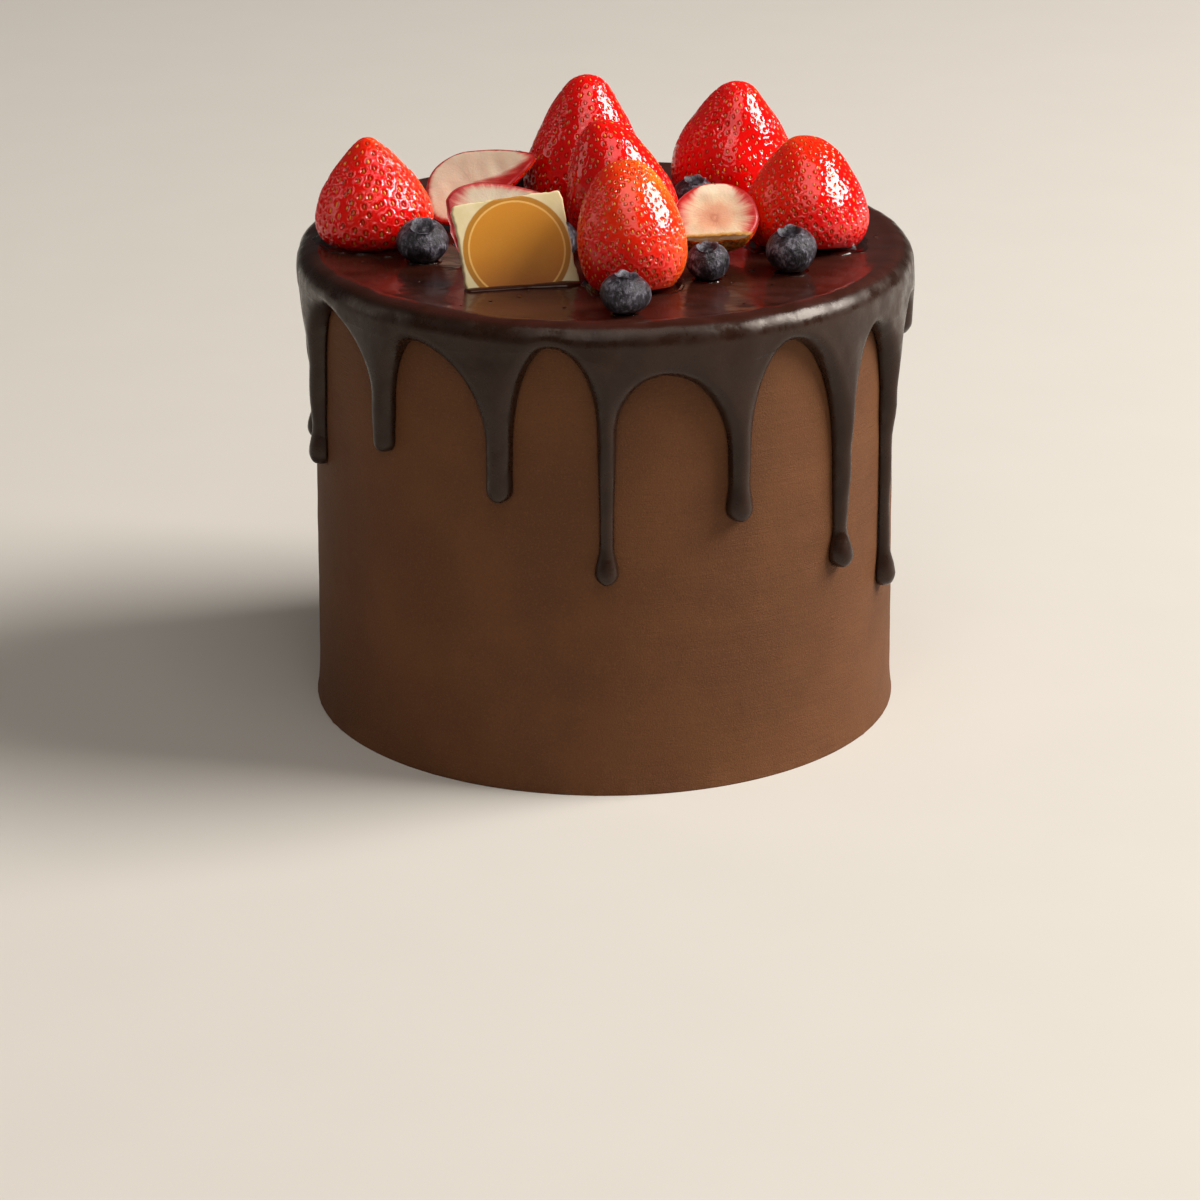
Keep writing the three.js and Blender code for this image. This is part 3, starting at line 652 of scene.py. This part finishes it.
def glaze_skin(number, lines, inside):
    """The part of the glaze's outside or inside that belongs to one drip, from the middle of the
    top over the edge and down to the drip's tip. lines are the free edges of it and of its
    neighbours: the outside curves down to nothing there as a quarter ellipse of the distance."""
    drip, left = DRIPS[number], LEFT_ARCHES[number]
    count = 4 if inside else 40
    column = -np.cos(np.pi * np.arange(count + 1) / count)
    angle, climb, half, full = drip_place(drip, left, column)
    band = np.linspace(1, 0, 4 if inside else 13)[:-1, None]
    band_climb = climb[0] + (SIDE_TOP - climb[0]) * band
    turn = np.linspace(1, 0, 5 if inside else 10)[:-1, None]
    edge_climb = SIDE_TOP + EDGE_TURN * turn + 0 * climb[0]
    edge_full = RIM_THICKNESS + (TOP_THICKNESS - RIM_THICKNESS) * turn ** 1.5 + 0 * climb[0]
    above = len(edge_climb) + len(band_climb)
    climb = np.concatenate([edge_climb, band_climb, climb])
    full = np.concatenate([edge_full, RIM_THICKNESS + 0 * band_climb, full])
    half = np.concatenate([np.full((above, count + 1), 99.0), half])
    angle = np.concatenate([np.repeat(angle[:1], above, 0), angle])
    apart = np.min([distance_to(line, angle * ARC, climb) for line in lines], axis=0)
    width = np.minimum(EDGE_ROUNDING, np.maximum(half, 0.1))
    inwards = 1 - np.clip(apart / width, 0, 1)
    place = glaze_point(angle, climb, 0)
    ridge = 0.45 * np.exp(-(column / 0.45) ** 2) * smoothstep(climb, drip[2], drip[2] + 14)
    ridge = ridge * (1 - smoothstep(climb, SIDE_TOP, SIDE_TOP + EDGE_TURN))
    uneven = 0.28 * waves(place, 22, 4) + 0.1 * waves(place, 8, 5)
    thickness = (full + ridge + uneven) * np.sqrt(1 - inwards ** 2)
    points = glaze_point(angle, climb, 0 if inside else thickness)
    out = (np.linspace(0, 1, 4 if inside else 30)[:-1] ** 0.8)[:, None, None]
    middle = np.array([0, 0, points[0, :, 2].mean()])
    top = middle + (points[0] - middle) * out
    top[..., 2] = middle[2] + (points[0, :, 2] - middle[2]) * out[..., 0] ** 4
    if not inside:
        top[..., 2] += 0.07 * waves(top, 30, 6) * (1 - out[..., 0] ** 6)
    return np.concatenate([top, points])[:, ::-1 if inside else 1]


# The arch on a drip's left is the one on the right of the drip before it.
LEFT_ARCHES = np.roll(DRIPS[:, 5:7], 1, axis=0)
LEFT_ARCHES[0, 0] -= 360


def poured_glaze():
    """The closed skin of glaze over the top and down the side. Its outside swells a little over
    each drip, and its inside lies on the cake."""
    sides = np.array([-1.0, 1.0])
    edges = [drip_place(drip, left, sides) for drip, left in zip(DRIPS, LEFT_ARCHES)]
    grids = []
    for number in range(len(DRIPS)):
        lines = []
        for step in (-1, 0, 1):
            turns, other = divmod(number + step, len(DRIPS))
            angle, climb = edges[other][0] + 360 * turns, edges[other][1]
            lines += [np.stack([angle[:, side] * ARC, climb[:, side]], -1) for side in (0, 1)]
        grids += [(glaze_skin(number, lines, inside), False) for inside in (False, True)]
    piece("poured_glaze", grids, FINISH["glaze"], "chocolate_glaze")


# ---- berries ----------------------------------------------------------------------------------

def egg_radius(turn, taper):
    """Half width of a strawberry of unit radius at an angle along its egg curve: the sine of an
    even oval, made fuller towards the foot by the taper."""
    peak = (math.sqrt(1 + 8 * taper ** 2) - 1) / (4 * taper)
    top = math.sin(math.acos(peak)) ** TIP_BLUNTNESS * (1 + taper * peak)
    return np.clip(np.sin(turn), 0, 1) ** TIP_BLUNTNESS * (1 + taper * np.cos(turn)) / top


def egg_height(turn, hull):
    """Height along the egg curve, 0 at the hulled end and 1 at the tip."""
    return (math.cos(hull) - np.cos(turn)) / (1 + math.cos(hull))


def egg_profile(radius, length, taper, hull, count):
    """Angles along the egg curve that are evenly spaced along the skin, with the radii and
    heights there."""
    turn = np.linspace(hull, np.pi, 2000)
    curve = np.stack([radius * egg_radius(turn, taper), length * egg_height(turn, hull)])
    travel = np.concatenate([[0], np.cumsum(np.linalg.norm(np.diff(curve), axis=0))])
    turn = np.interp(np.linspace(0, travel[-1], count), travel, turn)
    return turn, radius * egg_radius(turn, taper), length * egg_height(turn, hull)


def seed_places(radius, length, taper, hull, spacing, seed):
    """Seeds on a spiral: each lies a golden angle on from the last, on rows of equal area, and
    strays a little. Gives their angles along the egg curve and round the axis."""
    turn = np.linspace(hull + 0.06, np.pi - 0.02, 2000)
    out = radius * egg_radius(turn, taper)
    step = np.hypot(np.gradient(out), np.gradient(length * egg_height(turn, hull)))
    area = np.cumsum(2 * np.pi * out * step)
    count = int(area[-1] / (0.87 * spacing ** 2))
    draw = np.random.default_rng(seed)
    along = np.interp((np.arange(count) + 0.5) / count * area[-1], area, turn)
    round_axis = np.arange(count) * np.pi * (3 - math.sqrt(5))
    stray = spacing * 0.12 / radius
    return along + draw.normal(0, stray, count), round_axis + draw.normal(0, stray, count)


def pits(points, seeds, along, radius, wet):
    """How deep the skin lies in mm, and a mask for the shade painted in the pits, 1 near a seed, from
    the distance to the nearest seed: a bowl, a little longer along the berry, with a soft raised rim.
    Syrup fills the pits of the wet patches."""
    nearest = np.empty(points.shape[:-1], int)
    for row, line in enumerate(points):
        nearest[row] = ((line[:, None] - seeds) ** 2).sum(-1).argmin(1)
    apart = points - seeds[nearest]
    length = (apart * along[nearest]).sum(-1)
    width = np.sqrt(np.maximum((apart ** 2).sum(-1) - length ** 2, 0))
    reach = np.sqrt((length / 1.2) ** 2 + width ** 2) / radius
    bowl = 1 - smoothstep(reach, 0.3, 1.1)
    rim = np.exp(-((reach - 1.3) / 0.32) ** 2)
    return radius * (1 - 0.8 * wet) * (0.66 * bowl - 0.26 * rim), 1 - smoothstep(reach, 0.55, 0.9)


def seed_shapes(places, along, outward, size, straw, seed):
    """Teardrops with a blunt foot and a pointed tip, lying in the skin: six-sided rings of a
    length, width and depth that vary a little. Gives rings of points and a tint for each seed."""
    draw = np.random.default_rng(seed)
    size = size * draw.uniform(0.85, 1.15, (len(places), 1, 1, 1))
    t = np.linspace(0, np.pi, 6)[:, None]
    a = full_turn(6)
    wide = 0.5 * np.sin(t) * (1 + 0.35 * np.cos(t))
    x = (-0.85 * np.cos(t) + 0 * a)[..., None]
    y = (wide * np.cos(a))[..., None]
    z = (0.7 * wide * np.sin(a))[..., None]
    across = np.cross(outward, along)
    spread = along[:, None, None] * x + across[:, None, None] * y + outward[:, None, None] * z
    tint = np.clip(straw + draw.uniform(-0.4, 0.4, (len(places), 1, 1)), 0, 1)
    return places[:, None, None] + spread * size, np.broadcast_to(tint, spread.shape[:-1])


def normals_of(points, around):
    """Outward unit normals and the directions along the columns of a grid of points."""
    down = np.gradient(points, axis=0)
    wrapped = np.concatenate([points[:, -1:], points, points[:, :1]], 1) if around else points
    side = np.gradient(wrapped, axis=1)
    side = side[:, 1:-1] if around else side
    normal = np.cross(side, down)
    normal /= np.maximum(np.linalg.norm(normal, axis=-1, keepdims=True), 1e-9)
    return normal, down / np.maximum(np.linalg.norm(down, axis=-1, keepdims=True), 1e-9)


def on_grid(grids, row, column):
    """Values of grids at fractional rows and columns, the nearest ones."""
    rows, columns = grids[0].shape[:2]
    row = np.clip(np.rint(row).astype(int), 0, rows - 1)
    column = np.rint(column).astype(int) % columns
    return [values[row, column] for values in grids]


SEED_GRIDS = []


def keep_seeds(points, tint):
    """Keeps the seeds that aren't pressed into the glaze, for the one mesh of seeds."""
    above = points[:, 2, 0, 2] > GLAZE_TOP + 0.8
    SEED_GRIDS.append((points[above], tint[above]))


def whole_strawberry(number, x, y, radius, length, taper, lean, towards, seeds, pale, side, smooth,
                     patch, straw):
    """An egg curve turned round its axis, made uneven by slow waves, with a pit for each seed. Wet
    patches, where syrup has filled the pits, are smoother. The foot is pressed flat."""
    columns = 320
    turn, out, up = egg_profile(radius, length, taper, HULL_ANGLE, 200)
    angle = full_turn(columns)
    points = turned_profile(out, up, angle)
    uneven = 0.55 * waves(points, 26, 10 + number) + 0.16 * waves(points, 9, 20 + number)
    normal, down = normals_of(points, True)
    fade = smoothstep(np.pi - turn, 0, 0.5)[:, None]
    points = points + normal * (uneven * (0.3 + 0.7 * fade))[..., None]
    facing = np.cos(angle - math.radians(patch[0]))
    nearby = np.exp(-(1 - facing) / 0.35 - ((up[:, None] / length - patch[1]) / 0.3) ** 2)
    wet = smoothstep(waves(points, 12, 30 + number) + 2 * smooth - 1 + 1.5 * nearby, -0.25, 0.35)
    seed_turn, seed_angle = seed_places(radius, length, taper, HULL_ANGLE, seeds, 40 + number)
    row = np.interp(seed_turn, turn, np.arange(len(turn)))
    found = on_grid([points, down, normal, wet], row, seed_angle / (2 * np.pi) * columns)
    places, along, outward, seed_wet = found
    pit_radius = PIT_SHARE * seeds
    depth, pit_shade_mask = pits(points, places, along, pit_radius, wet)
    skin = points - normal * depth[..., None]
    sink = 0.4 * pit_radius * (1 - 0.8 * seed_wet) + 0.05
    seed_points, tint = seed_shapes(places - outward * sink[:, None], along, outward,
                                    seeds / WHOLE_SEED_GAP, straw, 50 + number)
    rest = np.array([x, y, GLAZE_TOP])
    turned = leaning(lean, towards).T
    body = np.concatenate([np.zeros((1, columns, 3)), skin]) @ turned + rest
    press_flat(body)
    # The pale side and paler tip are partly painted light: most berries turn their pale side to the key
    # light.
    ripe = ripeness_and_painted_light(points, angle, up[:, None] / length, pale, side, number)
    ripe, pit_shade_mask = (np.concatenate([values[:1], values]) for values in (ripe, pit_shade_mask))
    piece(f"whole_strawberry_{number}", [(body, True)], FINISH["skin"], f"strawberry_{number}",
          {"ripe": ripe, "pit_shade": pit_shade_mask})
    keep_seeds(seed_points @ turned + rest, tint)
    syrup_pool(f"syrup_at_strawberry_{number}", body, 1.8, 3.0, 160 + number)


def ripeness_and_painted_light(points, angle, high, pale, side, number):
    """From 0, orange, to 1, deep red: paler on one side and towards the tip, in slow patches. The pale
    side and tip are partly the berry's own colour and partly painted light, where the side faces the
    key light and towards the tip, which is the top.
    """
    facing = 0.5 + 0.5 * np.cos(angle - math.radians(side))
    patch = 0.5 + 0.5 * waves(points, 16, 60 + number)
    return np.clip(0.92 - pale * (0.45 * facing + 0.35 * high + 0.3 * (patch - 0.5)), 0, 1)


def half_strawberry(number, x, y, z, radius, length, taper, hull, deep, along, rise, roll, red,
                    corner, paler):
    """Half an egg curve with a flat cut face. The skin side has seed pits, and its hulled end is
    closed by a slightly domed scar. The face is a little dished, and its outline a little uneven."""
    count = 150
    a, b = math.radians(along), math.radians(rise)
    tip = np.array([math.cos(a) * math.cos(b), math.sin(a) * math.cos(b), math.sin(b)])
    level = np.array([math.sin(a), -math.cos(a), 0])
    rolled = np.array(Matrix.Rotation(math.radians(roll), 3, tip))
    basis = np.stack([rolled @ level, rolled @ np.cross(level, tip), tip])
    rest = np.array([x, y, z])
    turn, out, up = egg_profile(radius, length, taper, hull, count)
    outline = 1 + 0.03 * waves(np.stack([0 * up, 0 * up, up], -1), 9, 70 + number)
    angle = np.linspace(0, np.pi, count)
    stretch = np.stack([outline, np.full(count, deep), np.ones(count)], -1)
    points = turned_profile(out, up, -angle) * stretch[:, None]
    normal, down = normals_of(points, False)
    normal *= -np.sign(normal[60, 75, 1])
    seed_turn, seed_angle = seed_places(radius, length, taper, hull, HALF_SEEDS, 80 + number)
    seed_angle = seed_angle % (2 * np.pi)
    kept = (seed_angle > 0.12) & (seed_angle < np.pi - 0.12)
    row = np.interp(seed_turn[kept], turn, np.arange(len(turn)))
    column = seed_angle[kept] / np.pi * (count - 1)
    places, seed_along, outward = on_grid([points, down, normal], row, column)
    depth, pit_shade_mask = pits(points, places, seed_along, PIT_SHARE * HALF_SEEDS, 0)
    edge = np.sin(angle) ** 0.5 * smoothstep(np.arange(count), 0, 8)[:, None]
    skin = points - normal * (depth * edge)[..., None]

    def domed(across, back):
        """The scar's points for places on the hulled end: it bulges by up to 0.7 mm, unevenly."""
        off = np.clip(np.hypot(across / (out[0] * outline[0]), back / (out[0] * deep)), 0, 1)
        flat = np.stack([across, back, 0 * across], -1)
        bulge = (0.7 + 0.4 * waves(flat, 4, 85 + number)) * (1 - off ** 2)
        return np.stack([across, back, -bulge], -1)

    inwards = np.linspace(0, 1, DOME_ROWS + 1)[:-1, None]
    scar = domed(inwards * skin[0, :, 0], inwards * skin[0, :, 1])
    across = np.linspace(1, -1, 121)
    first = domed(out[0] * outline[0] * across, 0 * across)[None]
    rows = (out * outline)[:, None] * across
    face = np.concatenate([first, np.stack([rows, 0 * rows, up[:, None] + 0 * rows], -1)])
    sides = [face[:, 0], face[::-1, -1], face[0, ::-1]]
    inner = distance_to(np.concatenate(sides)[:, [0, 2]], face[..., 0], face[..., 2])
    centre = length * 0.4
    spoke = np.arctan2(face[..., 0], face[..., 2] - centre)
    at_tip, at_side, at_hull = red
    width = at_tip + (at_side - at_tip) * smoothstep(np.abs(spoke), 0.25, 0.9)
    width = width + (at_hull - at_side) * smoothstep(np.abs(spoke), 1.9, 2.6)
    width = width + corner * np.exp(-((spoke - 0.55) / 0.42) ** 2)
    # Partly painted light: paler lifts the whole face towards bright cream, as these faces lie in shade.
    core = paler + np.hypot(face[..., 0] / radius, (face[..., 2] - centre) / (0.55 * length))
    at_end = smoothstep(-face[..., 2], -3.4, 0.2) * (hull > SHOWN_HULL)
    dish = 0.25 * smoothstep(inner, 0, 1.0) - 0.35 * smoothstep(inner, 1, 0.6 * radius)
    dish = (dish + 0.14 * waves(face, 6, 90 + number)) * smoothstep(inner, 0, 0.8)
    face = face + np.array([0, 1, 0]) * dish[..., None]

    skin = np.concatenate([scar, skin]) @ basis + rest
    face = face @ basis + rest
    press_flat(skin)
    press_flat(face)
    ripe = np.clip(0.5 + 0.25 * waves(points, 14, 100 + number) + 0.3 * up[:, None] / length, 0, 1)
    on_scar = np.concatenate([np.ones(DOME_ROWS), smoothstep(-np.arange(count), -12, -2)])
    no_skin, no_face = np.zeros(skin.shape[:2]), np.zeros(face.shape[:2])
    values = {"way_in": (no_skin, inner), "spoke": (no_skin, 9 * spoke),
              "flush": (no_skin, inner / width), "core": (no_skin, core),
              "scar": (no_skin + on_scar[:, None] * (hull > SHOWN_HULL), at_end),
              "ripe": (np.concatenate([ripe[:1].repeat(DOME_ROWS, 0), ripe]), no_face),
              "pit_shade": (np.concatenate([no_skin[:DOME_ROWS], pit_shade_mask * edge]), no_face)}
    attributes = {name: np.concatenate([on_skin.ravel(), on_face.ravel()])
                  for name, (on_skin, on_face) in values.items()}
    made = piece(f"half_strawberry_{number}", [(skin, False), (face, False)], FINISH["skin"],
                 f"strawberry_half_{number}", attributes)
    made.data.materials.append(FINISH["flesh"])
    facing = np.empty(len(made.data.polygons) * 3)
    made.data.polygons.foreach_get("normal", facing)
    on_face = facing.reshape(-1, 3) @ basis[1] > 0.7
    made.data.polygons.foreach_set("material_index", on_face.astype(int))
    seed_points, tint = seed_shapes(places - outward * 0.33, seed_along, outward,
                                    HALF_SEEDS / HALF_SEED_GAP, 0.5, 110 + number)
    keep_seeds(seed_points @ basis + rest, tint)


def strawberry_seeds():
    """All the seeds as one mesh of closed teardrops."""
    grids, tints = [], []
    for points, tint in SEED_GRIDS:
        grids += [(shape, True) for shape in points]
        tints.append(tint.ravel())
    piece("strawberry_seeds", grids, FINISH["seed"],
          attributes={"tint": np.concatenate(tints)})


def ripe_blueberry(number, x, y, radius, height, lean, towards):
    """A flattened ball whose top turns up into a low crown of five lobes round a hollow: one
    profile turned round the axis, with the lip raised and spread by a wave of five."""
    angle = full_turn(120)
    crown = CROWN_SHARE * radius
    turn = np.linspace(0, np.pi - math.asin(CROWN_SHARE), 60)
    body_out = radius * np.sin(turn)
    body_up = -height / 2 * np.cos(turn)
    brow = body_up[-1]
    lip = np.linspace(0, 1, 10)[1:]
    lip_out = crown * (1 - 0.1 * np.sin(np.pi * lip))
    lip_up = brow + 0.45 * lip
    inward = np.linspace(0, 1, 14)[1:]
    hollow_out = crown * (1 - inward) * (1 - 0.08 * np.sin(np.pi * inward))
    hollow_up = brow + 0.45 - 1.15 * smoothstep(inward, 0, 0.35) + 0.3 * smoothstep(inward, 0.6, 1)
    near_lip = np.concatenate([0 * body_out, lip, (1 - inward) ** 1.5])[:, None]
    lobes = (0.5 + 0.5 * np.cos(5 * angle + number)) ** 0.6
    lobes = lobes * (0.75 + 0.25 * np.cos(2 * angle + 3 * number))
    points = turned_profile(np.concatenate([body_out, lip_out, hollow_out]),
                            np.concatenate([body_up, lip_up, hollow_up]), angle)
    points[..., :2] *= (1 + near_lip * (0.16 * lobes - 0.06))[..., None]
    points[..., 2] += near_lip * (lobes - 0.6) * 0.6
    uneven = 0.02 * waves(points, 8, 120 + number) + 0.008 * waves(points, 2.5, 130 + number)
    points = points * (1 + uneven)[..., None]
    hollow = np.concatenate([0 * body_out, 0 * lip, smoothstep(inward, 0.1, 0.5)])
    on_lip = np.concatenate([0 * body_out, lip ** 2, 1 - smoothstep(inward, 0, 0.25)])
    turned = leaning(lean, towards).T
    points = points @ turned + (x, y, GLAZE_TOP + height / 2)
    press_flat(points)
    shape = points.shape[:-1]
    piece(f"ripe_blueberry_{number}", [(points, True)], FINISH["blueberry"], f"blueberry_{number}",
          {"hollow": np.broadcast_to(hollow[:, None], shape),
                             "lip": np.broadcast_to(0.8 * on_lip[:, None], shape) * lobes})
    syrup_pool(f"syrup_at_blueberry_{number}", points, 1.2, 1.7, 170 + number)


# ---- syrup ------------------------------------------------------------------------------------

SYRUP_LAYER = 0.3          # thickness of a pool where it thins out
SYRUP_SUNK = 0.4           # depth of its underside in the glaze
SYRUP_OVERLAP = 1.5        # how far it reaches into the berry


def syrup_pool(name, body, rise, spread, seed):
    """A closed ring of syrup round the foot of a body of points, which is as wide in each
    direction as the farthest of the body's low points. From inside the body it slopes down, a
    little hollow, to a thin layer with a round edge. How far it spreads varies round the ring."""
    low = body[body[..., 2] < GLAZE_TOP + 0.5 * rise][:, :2]
    centre = (low.min(0) + low.max(0)) / 2
    angle = full_turn(200)
    outward = np.stack([np.cos(angle), np.sin(angle)], -1)
    size = ((low - centre) @ outward.T).max(0)[:, None]
    flat = np.concatenate([outward * size, 0 * size], 1)
    uneven = waves(flat, 16, seed)[:, None] + 0.35 * waves(flat, 4, seed + 50)[:, None]
    reach = np.maximum(spread * (0.9 + 0.5 * uneven), 0.8)
    climb = rise * (0.95 + 0.15 * uneven)
    t = np.linspace(0, 1, 26)
    fall = SYRUP_LAYER + (climb - SYRUP_LAYER) * np.clip(1 - t / 0.72, 0, 1) ** 1.35
    fall = fall * np.sqrt(1 - smoothstep(t, 0.75, 1.0) ** 2)
    inner, under = np.full_like(climb, -SYRUP_OVERLAP), np.full_like(climb, -SYRUP_SUNK)
    out = size + np.concatenate([inner, reach * t - 0.4, reach - 0.4, inner], 1)
    up = np.concatenate([climb, fall, under, under], 1)
    flat = centre + outward[:, None] * out[..., None]
    points = np.concatenate([flat, GLAZE_TOP + up[..., None]], -1)
    points = np.concatenate([points, points[:, :1]], 1)
    piece(name, [(points.transpose(1, 0, 2), True)], FINISH["syrup"])


def syrup_drops():
    """Small domes of syrup that dripped on the glaze: circles that shrink as they rise, in half
    ellipses, at random places on the open part of the top."""
    draw = np.random.default_rng(5)
    count = 110
    away, a = 74 * np.sqrt(draw.uniform(0.1, 1, count)), draw.uniform(0, 2 * np.pi, count)
    size = draw.uniform(0.25, 0.8, count) ** 1.3
    t = np.linspace(-0.5, np.pi / 2, 7)[:, None]
    angle = full_turn(14)
    shape = np.stack(np.broadcast_arrays(np.cos(t) * np.cos(angle), np.cos(t) * np.sin(angle),
                                         0.45 * np.sin(t)), -1)
    places = np.stack([away * np.cos(a), away * np.sin(a), np.full(count, GLAZE_TOP + 0.02)], -1)
    piece("syrup_drops", [(place + shape * s, True) for place, s in zip(places, size)], FINISH["syrup"])


# ---- the plaque -------------------------------------------------------------------------------

def plaque_frame():
    """The plaque's own directions, across, through and up, and its middle."""
    turn, lean, tilt = (math.radians(PLAQUE[key]) for key in ("turn", "lean", "tilt"))
    turned = Matrix.Rotation(turn, 3, "Z") @ Matrix.Rotation(-lean, 3, "X")
    turned = turned @ Matrix.Rotation(tilt, 3, "Y")
    return np.array(turned).T, np.array([PLAQUE["x"], PLAQUE["y"], GLAZE_TOP + PLAQUE_MIDDLE])


def plaque_slab():
    """A rounded square swept round its thickness: rings from the middle of the front face out to
    its edge, round the edge, and in to the middle of the back. The edge is a little chipped."""
    count = 360
    half, thick = PLAQUE["side"] / 2, PLAQUE["thickness"] / 2
    angle = full_turn(count)
    power = PLAQUE_CORNERS
    unit = (np.abs(np.cos(angle)) ** power + np.abs(np.sin(angle)) ** power) ** (-1 / power)
    flat = np.stack([unit * np.cos(angle), unit * np.sin(angle)], -1)
    around = np.concatenate([flat * half, 0 * flat[:, :1]], -1)
    chips = 0.14 * waves(around, 2.2, 150) + 0.22 * waves(around, 9, 151)
    chips = chips - 0.35 * smoothstep(waves(around, 3.0, 152), 0.7, 1.3) * (flat[:, 0] < 0)
    edge = np.linspace(-np.pi / 2, np.pi / 2, 12)
    rounding = PLAQUE_ROUNDING
    inset = np.concatenate([np.linspace(half, rounding, 40)[:-1], rounding * (1 - np.cos(edge)),
                            np.linspace(rounding, half, 12)[1:]])
    round_edge = np.sign(edge) * (thick - rounding) + rounding * np.sin(edge)
    depth = np.concatenate([np.full(39, -thick), round_edge, np.full(11, thick)])
    size = (half - inset)[:, None]
    worn = (1 + (chips - 0.1) / half * smoothstep(size, 0.9 * half, 0.97 * half))[..., None]
    across = size[..., None] * flat * worn
    points = np.stack([across[..., 0], np.broadcast_to(depth[:, None], size.shape[:1] + (count,)),
                       across[..., 1]], -1)
    directions, middle = plaque_frame()
    uv = np.where((depth < 0)[:, None, None], across, 99)
    piece("plaque_slab", [(points @ directions + middle, True)], FINISH["plaque"], "chocolate_plaque",
          uv=uv)


def plaque_bead():
    """The bead of glaze that rose in front of the plaque when its foot was pushed in: a half
    ellipse carried along the foot, whose size swells and shrinks and closes at both ends."""
    directions, middle = plaque_frame()
    across, through, upright = directions
    along = np.linspace(-PLAQUE["side"] / 2 - 0.8, PLAQUE["side"] / 2 + 1.2, 120)[:, None]
    front = middle + across * along - through * PLAQUE["thickness"] / 2
    line = front + upright * (GLAZE_TOP - front[:, 2:]) / upright[2]
    outward = np.array([-through[0], -through[1], 0]) / np.linalg.norm(through[:2])
    size = 0.95 + 0.25 * waves(line, 14, 155)[:, None] + 0.06 * waves(line, 4, 156)[:, None]
    ends = np.sqrt(np.clip(1 - np.linspace(-1, 1, 120)[:, None] ** 6, 0, 1))
    size = np.maximum(size, 0.5) * ends
    a = full_turn(32)
    points = line[:, None] + (size * (1.1 + 2.0 * np.cos(a)))[..., None] * outward
    points[..., 2] += size * 0.95 * np.sin(a)
    piece("plaque_bead", [(points, True)], FINISH["glaze"])


# ---- the whole cake ---------------------------------------------------------------------------

camera()
studio()
FINISH = {
    "buttercream": chocolate_buttercream(),
    "glaze": dark_glaze(),
    "skin": strawberry_skin(),
    "seed": strawberry_seed(),
    "flesh": strawberry_flesh(),
    "blueberry": blueberry_skin(),
    "plaque": white_chocolate(),
    "syrup": sugar_syrup(),
}
coated_cake()
poured_glaze()
for number, berry in enumerate(STRAWBERRIES, 1):
    whole_strawberry(number, **berry)
for number, berry in enumerate(HALVES, 1):
    half_strawberry(number, **berry)
strawberry_seeds()
for number, berry in enumerate(BLUEBERRIES, 1):
    ripe_blueberry(number, **berry)
plaque_slab()
plaque_bead()
syrup_drops()
